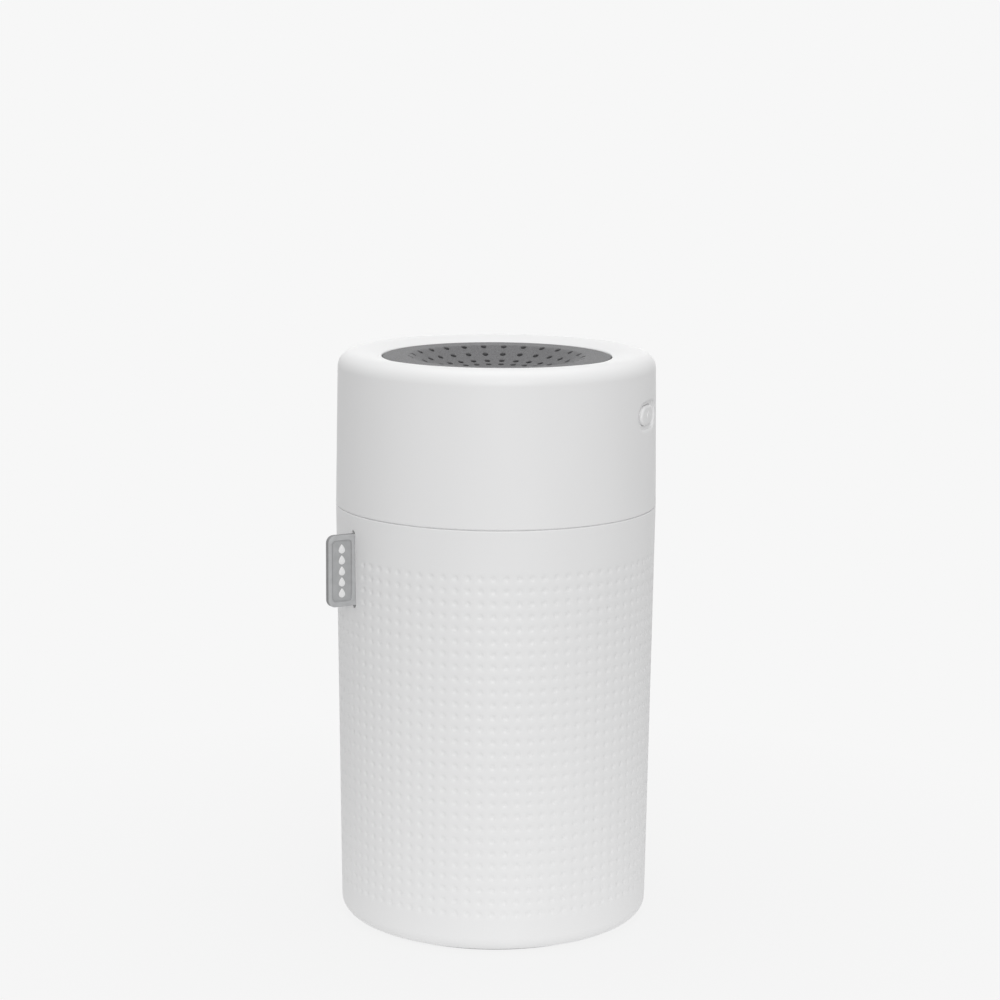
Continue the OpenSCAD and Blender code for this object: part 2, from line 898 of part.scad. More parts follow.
// Sockets for the internal wires: battery, plate, lights and switch
module wire_sockets() {
    sockets = [[-14, 20, 4, 4], [-2.2, 15, 4.4, 4], [5, 15, 4.4, 4], [-9.2, 15, 4.4, 4]];
    color("ivory")
        for (socket = sockets)
            translate([socket[0], socket[1], main_top])
                cube([socket[2], socket[3], 3.4]);
}

module usb_socket() {
    color("silver")
        facing(180)
            translate([0, 0, usb_z])
                difference() {
                    stadium_plug(usb_w, usb_h, usb_mouth - usb_depth, usb_mouth);
                    stadium_plug(usb_w - 2 * usb_wall, usb_h - 2 * usb_wall,
                        usb_mouth - usb_depth + 0.6, usb_mouth + 1);
                }
}

module usb_tongue() {
    color("dimgray")
        facing(180)
            translate([usb_mouth - usb_depth + 0.6, -3.3, usb_z - 0.35])
                cube([usb_depth - 1.6, 6.6, 0.7]);
}

// Soft cell with rounded long edges and a folded top seal
module battery() {
    edge = 2;
    color("silver")
        translate([-battery_in - battery_size.x, -battery_size.y / 2, battery_z]) {
            translate([edge, 0, 0])
                cube([battery_size.x - 2 * edge, battery_size.y, battery_size.z]);
            translate([0, 0, edge])
                cube([battery_size.x, battery_size.y, battery_size.z - 2 * edge]);
            for (x = [edge, battery_size.x - edge])
                for (z = [edge, battery_size.z - edge])
                    translate([x, 0, z])
                        rotate([-90, 0, 0])
                            cylinder(r = edge, h = battery_size.y, $fn = 48);
        }
}

// A pair of wires side by side along one route
module lead_pair(route, spread, datum) {
    for (side = [-1, 1])
        wire(smooth_route([for (p = route) p + side * spread]), lead_r, lead_sides, datum);
}

module battery_leads() {
    color("firebrick")
        lead_pair([
            [-battery_in, 22, tank_h + 22.5], [-16.5, 22, tank_h + 22], [-13, 22, tank_h + 18.5],
            [-12, 22, tank_h + 13.5], [-12, 22, main_top + 3.4]], [0, 0.8, 0], [0, 1, 0]);
}

module atomizer_leads() {
    channel_z = disc_z + disc_t + piezo_t + lead_r + slip / 2;
    color("gold")
        lead_pair([
            [0, disc_r - 1, channel_z], [0, disc_r + 1, channel_z], [0, seat_r + 1, channel_z - 0.4],
            [0, 15.6, tank_h + 25.5], [0, 17, tank_h + 19.5], [0, 17, tank_h + 13.5],
            [0, 17, main_top + 3.4]], [0.8, 0, 0], [1, 0, 0]);
}

module signal_leads() {
    color("slategray") {
        lead_pair([
            [7, led_ring_in + 1, led_board_z - slip], [7, led_ring_in + 1, tank_h + 27.5],
            [7, 17.5, tank_h + 20.5], [7, 17, tank_h + 13.5], [7, 17, main_top + 3.4]],
            [0.8, 0, 0], [1, 0, 0]);
        lead_pair([
            [-7, 17, main_top + 3.4], [-7, 17, tank_h + 12.5], [-2, 20, tank_h + 16.5],
            [8, 22, tank_h + 18.5], [18, 14, tank_h + 18.5], [23.5, -4, tank_h + 16.5],
            [28.2, -10.3, tank_h + 15.5], [31.6, -11.5, tank_h + 15.5]],
            [0.27, 0.75, 0], [1, 3, 0]);
    }
}

// ---------- button ----------

module button_board() {
    color("darkgreen")
        facing(button_angle)
            translate([switch_in - board_t, -button_board_w / 2, plate_top + 1 + slip])
                cube([board_t, button_board_w, button_z + 5 - plate_top - 1]);
}

module tact_switch() {
    color("dimgray")
        facing(button_angle)
            translate([0, 0, button_z])
                difference() {
                    translate([switch_in, -switch_size / 2, -switch_size / 2])
                        cube([switch_out - switch_in, switch_size, switch_size]);
                    rotate([0, 90, 0])
                        rod(plunger_r + clear, plunger_in - 0.8, seam_r);
                }
}

module switch_plunger() {
    color("black")
        facing(button_angle)
            translate([0, 0, button_z])
                rotate([0, 90, 0])
                    rod(plunger_r, plunger_in, stem_end);
}

// Cap with its outer face on the shell's curve, a keeper behind the wall and a stem
module power_button() {
    color("white")
        facing(button_angle)
            translate([0, 0, button_z]) {
                intersection() {
                    stadium_plug(button_w, button_h, keeper_r - keeper_t, seam_r);
                    rod(cap_r, -button_h, button_h);
                }
                intersection() {
                    stadium_plug(button_w + 2.4, button_h + 2.4, keeper_r - keeper_t, seam_r);
                    rod(keeper_r, -button_h, button_h);
                }
                rotate([0, 90, 0])
                    rod(1.5, stem_end, keeper_r - keeper_t + eps);
            }
}

outer_sleeve();
tank_cup();
base_pad();
side_tag();
tag_marks();
head_shell();
grille();
light_diffuser();
nozzle_ring();
head_base();
tank_seal();
wick_tube();
tube_seal();
wick_cap();
wick_spring();
wick();
atomizer_gasket();
atomizer_plate();
piezo_ring();
atomizer_clamp();
clamp_screws();
led_board();
leds();
led_screws();
main_board();
board_screws();
control_chips();
driver_coil();
wire_sockets();
usb_socket();
usb_tongue();
battery();
battery_leads();
atomizer_leads();
signal_leads();
button_board();
tact_switch();
base_screws();
power_button();
switch_plunger();
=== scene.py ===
"""The visible model of a cool mist humidifier, built round its CAD frame.

Lengths in this file are millimetres. They become metres where a mesh is made.
Angles go round from the front (-Y) towards +X, so 90 is the right side and 180 is the back.
"""
import json
import math

import bmesh
import bpy
import numpy as np
from mathutils import Matrix, Vector


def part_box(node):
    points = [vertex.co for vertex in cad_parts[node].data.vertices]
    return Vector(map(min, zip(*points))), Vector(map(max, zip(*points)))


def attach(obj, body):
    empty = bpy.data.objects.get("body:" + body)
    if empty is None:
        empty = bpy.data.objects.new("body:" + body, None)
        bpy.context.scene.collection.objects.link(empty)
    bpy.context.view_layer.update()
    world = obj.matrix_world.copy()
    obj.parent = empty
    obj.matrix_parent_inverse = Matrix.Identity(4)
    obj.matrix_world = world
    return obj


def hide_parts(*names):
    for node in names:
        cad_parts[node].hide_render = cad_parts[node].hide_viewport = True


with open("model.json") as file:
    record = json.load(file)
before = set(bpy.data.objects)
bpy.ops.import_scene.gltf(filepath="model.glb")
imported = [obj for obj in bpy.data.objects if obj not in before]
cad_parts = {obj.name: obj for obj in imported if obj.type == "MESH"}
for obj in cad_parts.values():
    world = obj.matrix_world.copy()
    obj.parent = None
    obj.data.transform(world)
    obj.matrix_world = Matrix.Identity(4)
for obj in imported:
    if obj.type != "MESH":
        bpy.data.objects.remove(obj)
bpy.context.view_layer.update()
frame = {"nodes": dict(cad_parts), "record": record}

MM = 0.001


def box_mm(node):
    """Lowest and highest corner of a CAD node, in millimetres."""
    low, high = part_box(node)
    return Vector(low) / MM, Vector(high) / MM


# ---------- dimensions ----------

sleeve_low, sleeve_high = box_mm("outer_sleeve")
shell_low, shell_high = box_mm("head_shell")
grille_low, grille_high = box_mm("grille")
nozzle_low, nozzle_high = box_mm("nozzle_ring")
cup_low, cup_high = box_mm("tank_cup")
cap_low, cap_high = box_mm("power_button")
usb_low, usb_high = box_mm("usb_socket")
spring_low, spring_high = box_mm("wick_spring")
pad_high = box_mm("base_pad")[1]

# Walls: a draft is what the radius loses from the seam to the foot or to the shoulder
WALL = 2.2
FLOOR_T = 2.2
TANK_DRAFT = 1.5
HEAD_DRAFT = 0.6
FOOT_R = 4
seam_r = (sleeve_high.x - sleeve_low.x) / 2
seam_z = (sleeve_high.z + shell_low.z) / 2
top_z = shell_high.z

# Rim and the ledge under it, which the grille's skirt stands on
SHOULDER_R = 4.4
RIM_FALL = 1.4
LIP_R = 0.8
LIP_DROP = 1.2
LEDGE_DEPTH = 3
GRILLE_GAP = 0.2
shoulder_z = top_z - SHOULDER_R
shoulder_wall_r = seam_r - HEAD_DRAFT
crest_r = shoulder_wall_r - SHOULDER_R
lip_z = top_z - LIP_DROP
ledge_z = lip_z - LEDGE_DEPTH
grille_z = lip_z - GRILLE_GAP
opening_r = (grille_high.x - grille_low.x) / 2 + GRILLE_GAP

# Mist outlet
OUTLET_WALL = 1.4
NOZZLE_FLANGE_W = 1.6
NOZZLE_FLANGE_T = 0.5
outlet_out_r = (nozzle_high.x - nozzle_low.x) / 2 - NOZZLE_FLANGE_W

# Dish: it starts to fall at one radius and is level again inside another, and its section is
# averaged over a few shifts to soften the turn
DISH_DEPTH = 4.9
DISH_R = 24.5
DISH_FLAT_R = 9
DISH_SHIFTS = (-0.8, -0.4, 0, 0.4, 0.8)
DISH_RINGS = (24.1, 20.7, 17.1, 14.6)
HOLES_PER_RING = 26
HOLE_R = 0.82
HOLE_PHASE = 9.2
GRILLE_T = 1.2
WEB_T = 0.35
COUNTERBORE_R = 1.35

# Dimples: each ring of vertices has a share of the radius and of the depth
DIMPLE_COLUMNS = 81
DIMPLE_ROWS = 28
DIMPLE_R = 1.1
DIMPLE_DEPTH = 0.3
DIMPLE_PHASE = -0.57
DIMPLE_PITCH = 3.475
DIMPLE_RINGS = ((1.0, 0.0), (0.58, 0.64))
CELL_EDGES = 3
dimple_top = seam_z - 13.36

# Base pad and the ring that carries the cup
PAD_W = 6.5
PAD_CLEAR = 0.1
PAD_GROOVE = 0.8
CUP_RING_OUT_R = 31
CUP_RING_IN_R = 27

# Tag, its foot behind the wall, the slot and pocket that hold it, and the plain field round it
TAG_ANGLE = -60.5
TAG_REACH = 8.1
TAG_H = 20
TAG_T = 1.8
TAG_CORNER_R = 2.1
TAG_ANCHOR = 3.0
TAG_BORDER = 1.4
TAG_MARKS = 5
GROOVE_DEPTH = 0.28
PANEL_SUNK = 0.12
PANEL_MARGIN = 0.4
TAG_FOOT_W = 6
TAG_FOOT_H = 21
TAG_FOOT_DEPTHS = (2.8, 1.2)
SLOT_SPARE = 0.9
SLOT_CLEAR = 0.2
POCKET_CLEAR = 0.1
POCKET_SPARE = 0.6
POCKET_DEPTH = 1.1
PLAIN_HALF_ANGLE = 3.2
PLAIN_BELOW = 2.6
tag_top = seam_z - 5.4
tag_z = tag_top - TAG_H / 2

# Screw posts of the head
BOSS_ANGLES = (35, 145, 215, 325)
BOSS_RING_R = 35
BOSS_R = 2.8
SCREW_HOLE_R = 1.3
SCREW_HOLE_DEPTH = 10
base_top = seam_z + 2.1

# Button and its recess
BUTTON_ANGLE = 70
BUTTON_W = 9.6
BUTTON_H = 5.4
BUTTON_GAP = 0.15
RECESS_DEPTH = 0.8
RECESS_SPARE_W = 4.8
RECESS_SPARE_H = 2.2
KEEPER_T = 0.9
KEEPER_SPARE = 1.2
STEM_R = 1.5
STEM_IN_R = 39.9
button_z = (cap_low.z + cap_high.z) / 2

# Charging inlet
PORT_ANGLE = 180
PORT_W = 9.34
PORT_H = 3.66
PORT_RECESS_W = 12.4
PORT_RECESS_H = 6.8
PORT_RECESS_DEPTH = 0.9

# Roundings of moulded edges
SOFT_EDGE = 0.4
EDGE = 0.3
FIRM_EDGE = 0.2
FINE_EDGE = 0.1
SHARP_EDGE = 0.05

# Shading: how sharp an edge has to be to stay one, and how much large faces set the normals
CREASE_DEGREES = 38
NORMAL_WEIGHT = 80

# What counts as nothing, and how far a cutting tool reaches out of a wall
ON_AXIS = 1e-6
TINY = 1e-4
CUT_SPARE = 2
CIRCLE_32 = [math.tau * k / 32 for k in range(32)]


def sleeve_r(z):
    """Outer radius of the sleeve at a height."""
    return seam_r - TANK_DRAFT * (seam_z - z) / seam_z


def shell_r(z):
    """Outer radius of the head's wall at a height."""
    return seam_r - HEAD_DRAFT * (z - seam_z) / (shoulder_z - seam_z)


def dish_z(r):
    """Height of the grille's upper face at a radius: a level band, then a bowl, with a soft turn."""
    total = 0
    for shift in DISH_SHIFTS:
        share = min(max((r + shift - DISH_FLAT_R) / (DISH_R - DISH_FLAT_R), 0), 1)
        total += 1 - share * share
    return grille_z - DISH_DEPTH * total / len(DISH_SHIFTS)


def crown_z(r):
    """Height of the rim, which falls from its crest in to the opening."""
    return top_z - RIM_FALL * ((crest_r - r) / (crest_r - opening_r)) ** 2


def at_angle(angle, r, z, along=0):
    """Point at a radius and height in a direction, moved along the wall by a length."""
    a = math.radians(angle)
    return (r * math.sin(a) + along * math.cos(a), -r * math.cos(a) + along * math.sin(a), z)


tag_wall_r = sleeve_r(tag_z)


# ---------- outlines ----------

def rounded_outline(corners, steps=None):
    """Points of a closed outline, with an arc of the given radius at each (x, y, radius) corner.

    Without a number of steps, an arc gets more of them the larger it is.
    """
    fewest, steps_per_mm = 3, 2.2
    points = []
    for i, (x, y, radius) in enumerate(corners):
        corner = Vector((x, y))
        if radius <= 0:
            points.append(corner)
            continue
        before = (Vector(corners[i - 1][:2]) - corner).normalized()
        after = (Vector(corners[(i + 1) % len(corners)][:2]) - corner).normalized()
        half = before.angle(after) / 2
        centre = corner + (before + after).normalized() * radius / math.sin(half)
        start = corner + before * radius / math.tan(half) - centre
        end = corner + after * radius / math.tan(half) - centre
        first = math.atan2(start.y, start.x)
        turn = (math.atan2(end.y, end.x) - first + math.pi) % math.tau - math.pi
        count = steps or fewest + int(steps_per_mm * radius)
        for k in range(count + 1):
            a = first + turn * k / count
            points.append(centre + radius * Vector((math.cos(a), math.sin(a))))
    return points


def stadium_outline(w, h, steps=14):
    """Points round a shape with half-round ends, w across and h high, counter-clockwise."""
    return rounded_outline(box_corners(w / 2, h / 2, h / 2 - TINY), steps)


def box_corners(half_w, half_h, radius):
    """Corners of a rectangle round the origin, counter-clockwise, all with one radius."""
    return [(x * half_w, y * half_h, radius) for x, y in ((-1, -1), (1, -1), (1, 1), (-1, 1))]


def drop_outline(half_w, half_h, taper, power, point=0.0, lowered=0.0, steps=28):
    """Outline of a drop: the upper half of an ellipse is narrowed and drawn out to a point."""
    outline = []
    for k in range(steps):
        a = math.tau * k / steps
        rise = max(math.sin(a), 0)
        outline.append((half_w * math.cos(a) * (1 - taper * rise ** power),
                        half_h * math.sin(a) + point * rise - lowered))
    return outline


# ---------- mesh building ----------

class Builder:
    """Collects vertices in millimetres and faces, then makes one object."""

    def __init__(self):
        self.points = []
        self.faces = []

    def add(self, point):
        self.points.append(tuple(point))
        return len(self.points) - 1

    def ring(self, points):
        return [self.add(p) for p in points]

    def bridge(self, lower, upper, flip=False):
        """Joins two rings of the same length with a band of quads."""
        n = len(lower)
        for i in range(n):
            j = (i + 1) % n
            quad = (lower[i], lower[j], upper[j], upper[i])
            self.faces.append(quad[::-1] if flip else quad)

    def fan(self, ring, point, flip=False):
        """Closes a ring with triangles that meet at one point."""
        centre = self.add(point)
        n = len(ring)
        for i in range(n):
            face = (ring[i], ring[(i + 1) % n], centre)
            self.faces.append(face[::-1] if flip else face)

    def stack(self, rings):
        """Bridges each ring to the next."""
        for lower, upper in zip(rings, rings[1:]):
            self.bridge(lower, upper)

    def make(self, name):
        """Makes the object as it is, open or closed."""
        mesh = bpy.data.meshes.new(name)
        mesh.from_pydata([[c * MM for c in p] for p in self.points], [], self.faces)
        mesh.validate()
        piece = bpy.data.objects.new(name, mesh)
        bpy.context.scene.collection.objects.link(piece)
        return piece

    def make_solid(self, name):
        """Makes a closed object whose normals all point outwards."""
        piece = self.make(name)
        bm = bmesh.new()
        bm.from_mesh(piece.data)
        bmesh.ops.recalc_face_normals(bm, faces=bm.faces)
        bm.to_mesh(piece.data)
        bm.free()
        return piece


def revolve(builder, outline, segments):
    """Turns a closed outline of (radius, height) points about the centre line."""
    rings = []
    for r, z in outline:
        if abs(r) < ON_AXIS:
            rings.append([builder.add((0, 0, z))] * segments)
            continue
        rings.append(builder.ring(at_angle(360 * i / segments, r, z) for i in range(segments)))
    for i, ring in enumerate(rings):
        below = rings[i - 1]
        if below[0] == below[1] and ring[0] == ring[1]:
            continue
        for k in range(segments):
            j = (k + 1) % segments
            corners = (below[k], below[j], ring[j], ring[k])
            builder.faces.append(tuple(dict.fromkeys(corners)))


def lathe(name, corners, segments=192, steps=None):
    """A closed turned piece with rounded corners."""
    builder = Builder()
    revolve(builder, rounded_outline(corners, steps), segments)
    return builder.make_solid(name)


def loft(name, layers):
    """A closed piece from rings of the same length, with a point in the middle of each end."""
    builder = Builder()
    rings = [builder.ring(layer) for layer in layers]
    builder.stack(rings)
    builder.fan(rings[0], np.mean(layers[0], axis=0), True)
    builder.fan(rings[-1], np.mean(layers[-1], axis=0))
    return builder.make_solid(name)


def apply_modifiers(piece):
    """Replaces a piece's mesh by its evaluated one."""
    graph = bpy.context.evaluated_depsgraph_get()
    mesh = bpy.data.meshes.new_from_object(piece.evaluated_get(graph))
    piece.modifiers.clear()
    old = piece.data
    piece.data = mesh
    bpy.data.meshes.remove(old)


def carve(piece, tool, operation="DIFFERENCE"):
    """Cuts a tool out of a piece, or joins it on, and removes the tool."""
    cut = piece.modifiers.new("cut", "BOOLEAN")
    cut.operation = operation
    cut.solver = "EXACT"
    cut.object = tool
    bpy.context.view_layer.update()
    apply_modifiers(piece)
    bpy.data.objects.remove(tool)


def shade(piece):
    """Smooth shading with sharp creases, weighted so that flat faces stay flat."""
    for polygon in piece.data.polygons:
        polygon.use_smooth = True
    piece.data.set_sharp_from_angle(angle=math.radians(CREASE_DEGREES))
    weighted = piece.modifiers.new("weighted", "WEIGHTED_NORMAL")
    weighted.keep_sharp = True
    weighted.weight = NORMAL_WEIGHT


def place(piece, body, slot, *nodes):
    """Puts a finished piece on its body with its material, in place of CAD nodes."""
    shade(piece)
    piece.data.materials.clear()
    piece.data.materials.append(material_for(slot))
    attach(piece, body)
    if nodes:
        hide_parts(*nodes)
    return piece


# ---------- materials ----------

NOISE_RANGE = (0.3, 0.7)


def map_range(tree, from_low, from_high, to_low, to_high):
    """A node that maps one range of numbers to another."""
    made = tree.nodes.new("ShaderNodeMapRange")
    made.inputs["From Min"].default_value = from_low
    made.inputs["From Max"].default_value = from_high
    made.inputs["To Min"].default_value = to_low
    made.inputs["To Max"].default_value = to_high
    return made


class Shader:
    """A principled material with helpers for its procedural inputs."""

    def __init__(self, name, **sockets):
        self.material = bpy.data.materials.new(name)
        self.material.use_nodes = True
        self.tree = self.material.node_tree
        self.bsdf = self.tree.nodes["Principled BSDF"]
        self.place = self.tree.nodes.new("ShaderNodeTexCoord").outputs["Object"]
        for socket, value in sockets.items():
            self.bsdf.inputs[socket.replace("_", " ")].default_value = value

    def node(self, kind, **values):
        made = self.tree.nodes.new(kind)
        for key, value in values.items():
            setattr(made, key, value)
        return made

    def link(self, source, target):
        self.tree.links.new(source, target)

    def stretched(self, scale):
        """Object coordinates scaled along each axis."""
        mapping = self.node("ShaderNodeMapping")
        mapping.inputs["Scale"].default_value = scale
        self.link(self.place, mapping.inputs["Vector"])
        return mapping.outputs["Vector"]

    def noise(self, grain_mm, detail=3, stretch=(1, 1, 1), rough=0.55):
        """Noise with features of about the given size."""
        texture = self.node("ShaderNodeTexNoise")
        texture.inputs["Scale"].default_value = 1 / (grain_mm * MM)
        texture.inputs["Detail"].default_value = detail
        texture.inputs["Roughness"].default_value = rough
        self.link(self.stretched(stretch), texture.inputs["Vector"])
        return texture.outputs["Fac"]

    def ramp(self, source, low, high, start=0.35, end=0.65):
        """Blend from one colour to another over part of a value's range."""
        ramp = self.node("ShaderNodeValToRGB")
        ramp.color_ramp.elements[0].position = start
        ramp.color_ramp.elements[0].color = (*low, 1)
        ramp.color_ramp.elements[1].position = end
        ramp.color_ramp.elements[1].color = (*high, 1)
        self.link(source, ramp.inputs["Fac"])
        return ramp.outputs["Color"]

    def spread(self, source, low, high):
        """Maps the middle of a noise's range to a range of numbers."""
        spread = map_range(self.tree, *NOISE_RANGE, low, high)
        self.link(source, spread.inputs["Value"])
        return spread.outputs["Result"]

    def colour(self, source):
        self.link(source, self.bsdf.inputs["Base Color"])

    def roughness(self, source, low, high):
        self.link(self.spread(source, low, high), self.bsdf.inputs["Roughness"])

    def bump(self, *layers):
        """Stacks bump layers of (height source, depth in mm)."""
        normal = None
        for source, depth in layers:
            bump = self.node("ShaderNodeBump")
            bump.inputs["Strength"].default_value = 1
            bump.inputs["Distance"].default_value = depth * MM
            self.link(source, bump.inputs["Height"])
            if normal is not None:
                self.link(normal, bump.inputs["Normal"])
            normal = bump.outputs["Normal"]
        self.link(normal, self.bsdf.inputs["Normal"])


def tinted(colour, factor):
    """A colour made lighter or darker."""
    return tuple(min(1.0, c * factor) for c in colour)


def moulded_plastic(name, colour, rough, grain, depth, variation, **sockets):
    """Moulded plastic with a fine spark-eroded grain and very faint flow marks."""
    shader = Shader(name, **sockets)
    flow = shader.noise(22, detail=2, stretch=(1, 1, 0.4))
    fine = shader.noise(grain)
    coarse = shader.noise(grain * 9, detail=2)
    shader.colour(shader.ramp(flow, tinted(colour, 1 - variation), tinted(colour, 1 + variation)))
    shader.roughness(shader.noise(3.5), rough - 0.03, rough + 0.04)
    shader.bump((fine, depth), (coarse, depth * 0.8))
    return shader.material


def soft_rubber(name, colour, rough, grain=0.22, sheen=0.15):
    """Soft silicone or rubber with a dusty, velvety grain."""
    shader = Shader(name, Sheen_Weight=sheen, Sheen_Roughness=0.5)
    dust = shader.noise(1.8, detail=4)
    shader.colour(shader.ramp(dust, tinted(colour, 0.95), tinted(colour, 1.05)))
    shader.roughness(shader.noise(0.9), rough - 0.06, rough + 0.06)
    shader.bump((shader.noise(grain), 0.01))
    return shader.material


def bare_metal(name, colour, rough):
    """Drawn or turned metal with fine brush lines."""
    shader = Shader(name, Metallic=1.0)
    lines = shader.noise(0.3, detail=4, stretch=(1, 1, 12))
    shader.colour(shader.ramp(shader.noise(2.5), tinted(colour, 0.93), tinted(colour, 1.05)))
    shader.roughness(lines, rough - 0.07, rough + 0.09)
    shader.bump((lines, 0.003))
    return shader.material


def flaked_coat(name, colour, bright, flake=0.16):
    """Satin metallic coating: fine flakes in a mid-grey coat."""
    shader = Shader(name, Metallic=0.05, Specular_IOR_Level=0.12)
    flakes = shader.node("ShaderNodeTexVoronoi")
    flakes.inputs["Scale"].default_value = 1 / (flake * MM)
    shader.link(shader.place, flakes.inputs["Vector"])
    shader.colour(shader.ramp(flakes.outputs["Color"], colour, bright, 0.1, 0.9))
    shader.roughness(shader.noise(0.8, detail=4), 0.5, 0.6)
    shader.bump((shader.noise(0.2), 0.008))
    return shader.material


def circuit_board(name, colour, trace, brick=2.4):
    """Glossy solder mask over raised traces, with scattered pads."""
    shader = Shader(name, Coat_Weight=0.4, Coat_Roughness=0.2)
    tracks = shader.node("ShaderNodeTexBrick", offset=0.5)
    tracks.inputs["Scale"].default_value = 1 / (brick * MM)
    tracks.inputs["Mortar Size"].default_value = 0.06
    tracks.inputs["Color1"].default_value = (*colour, 1)
    tracks.inputs["Color2"].default_value = (*tinted(colour, 0.85), 1)
    tracks.inputs["Mortar"].default_value = (*trace, 1)
    shader.link(shader.place, tracks.inputs["Vector"])
    shader.colour(tracks.outputs["Color"])
    shader.roughness(shader.noise(1.5), 0.25, 0.38)
    shader.bump((tracks.outputs["Fac"], -0.03), (shader.noise(0.4), 0.004))
    return shader.material


def wick_fibre(name, colour):
    """Bundled fibres that run along the wick."""
    shader = Shader(name, Sheen_Weight=0.4, Sheen_Roughness=0.6)
    strands = shader.noise(0.35, detail=5, stretch=(1, 1, 0.05), rough=0.7)
    shader.colour(shader.ramp(strands, tinted(colour, 0.78), tinted(colour, 1.1)))
    shader.roughness(strands, 0.82, 0.95)
    shader.bump((strands, 0.15), (shader.noise(0.12, detail=2), 0.03))
    return shader.material


def wound_wire(name, colour, band=1.5):
    """Enamelled copper wire in close turns, with painted shade in the grooves between them."""
    shader = Shader(name, Metallic=0.85, Coat_Weight=0.6, Coat_Roughness=0.12)
    turns = shader.node("ShaderNodeTexWave", wave_type="BANDS", bands_direction="Z")
    turns.inputs["Scale"].default_value = 1 / (band * MM)
    turns.inputs["Distortion"].default_value = 0.6
    shader.link(shader.place, turns.inputs["Vector"])
    # The darker bands in the grooves between turns are painted shade
    shader.colour(shader.ramp(turns.outputs["Fac"], tinted(colour, 0.45), tinted(colour, 1.1), 0.1, 0.7))
    shader.roughness(shader.noise(0.7, detail=2), 0.22, 0.36)
    shader.bump((turns.outputs["Fac"], 0.08))
    return shader.material


def laminated_foil(name, colour):
    """Battery pouch foil with shallow creases."""
    shader = Shader(name, Metallic=0.9)
    creases = shader.noise(4.5, detail=5, rough=0.65)
    shader.colour(shader.ramp(creases, tinted(colour, 0.9), tinted(colour, 1.05)))
    shader.roughness(shader.noise(1.2), 0.3, 0.45)
    shader.bump((creases, 0.14))
    return shader.material


def led_phosphor(name, colour):
    """Clear dome over yellow phosphor."""
    shader = Shader(name, Coat_Weight=0.8, Coat_Roughness=0.05)
    shader.colour(shader.ramp(shader.noise(0.5), tinted(colour, 0.9), tinted(colour, 1.08)))
    shader.roughness(shader.noise(0.8, detail=2), 0.2, 0.3)
    shader.bump((shader.noise(0.3, detail=2), 0.006))
    return shader.material


# Maker and colour of each slot. The grain's size and depth are in millimetres.
FINISHES = {
    "white_shell": (moulded_plastic, (0.86, 0.86, 0.862),
                    dict(rough=0.46, grain=0.25, depth=0.005, variation=0.006)),
    "natural_plastic": (moulded_plastic, (0.80, 0.81, 0.805),
                        dict(rough=0.4, grain=0.4, depth=0.006, variation=0.015,
                             Subsurface_Weight=0.15, Subsurface_Scale=0.002)),
    "dark_rubber": (soft_rubber, (0.075, 0.075, 0.08), dict(rough=0.66)),
    "pale_rubber": (soft_rubber, (0.60, 0.61, 0.61), dict(rough=0.55)),
    "tag_grey": (soft_rubber, (0.46, 0.465, 0.47), dict(rough=0.55, grain=0.25, sheen=0.08)),
    "tag_panel": (soft_rubber, (0.40, 0.405, 0.41), dict(rough=0.6, grain=0.25, sheen=0.08)),
    # Darker grey for the tag's edge band: painted shade on its side faces
    "tag_edge_painted_shade": (soft_rubber, (0.27, 0.27, 0.275), dict(rough=0.6, grain=0.25, sheen=0.05)),
    "mark_white": (moulded_plastic, (0.84, 0.84, 0.84),
                   dict(rough=0.5, grain=0.2, depth=0.004, variation=0.01)),
    "grille_grey": (flaked_coat, (0.125, 0.125, 0.128), dict(bright=(0.215, 0.215, 0.22))),
    "smoked_plastic": (moulded_plastic, (0.022, 0.022, 0.025),
                       dict(rough=0.5, grain=0.35, depth=0.006, variation=0.05)),
    "led_yellow": (led_phosphor, (0.86, 0.74, 0.30), {}),
    "steel": (bare_metal, (0.60, 0.60, 0.61), dict(rough=0.3)),
    "wick_fibre": (wick_fibre, (0.82, 0.78, 0.70), {}),
    "ceramic": (moulded_plastic, (0.70, 0.66, 0.52),
                dict(rough=0.3, grain=0.3, depth=0.004, variation=0.03, Coat_Weight=0.3)),
    "board_white": (circuit_board, (0.80, 0.81, 0.79), dict(trace=(0.66, 0.67, 0.65))),
    "board_green": (circuit_board, (0.03, 0.17, 0.08), dict(trace=(0.05, 0.26, 0.12))),
    "black_plastic": (moulded_plastic, (0.028, 0.028, 0.03),
                      dict(rough=0.45, grain=0.3, depth=0.008, variation=0.06)),
    "copper_wire": (wound_wire, (0.72, 0.36, 0.18), {}),
    "socket_ivory": (moulded_plastic, (0.82, 0.78, 0.66),
                     dict(rough=0.42, grain=0.35, depth=0.006, variation=0.02)),
    "foil": (laminated_foil, (0.66, 0.67, 0.69), {}),
    "lead_red": (soft_rubber, (0.45, 0.035, 0.03), dict(rough=0.42, grain=0.3, sheen=0.05)),
    "lead_yellow": (soft_rubber, (0.68, 0.46, 0.05), dict(rough=0.42, grain=0.3, sheen=0.05)),
    "lead_grey": (soft_rubber, (0.18, 0.21, 0.25), dict(rough=0.42, grain=0.3, sheen=0.05)),
}
made_materials = {}


def material_for(slot):
    """The material of a slot, made once."""
    if slot not in made_materials:
        maker, colour, settings = FINISHES[slot]
        made_materials[slot] = maker(slot, colour, **settings)
    return made_materials[slot]


# ---------- tank ----------

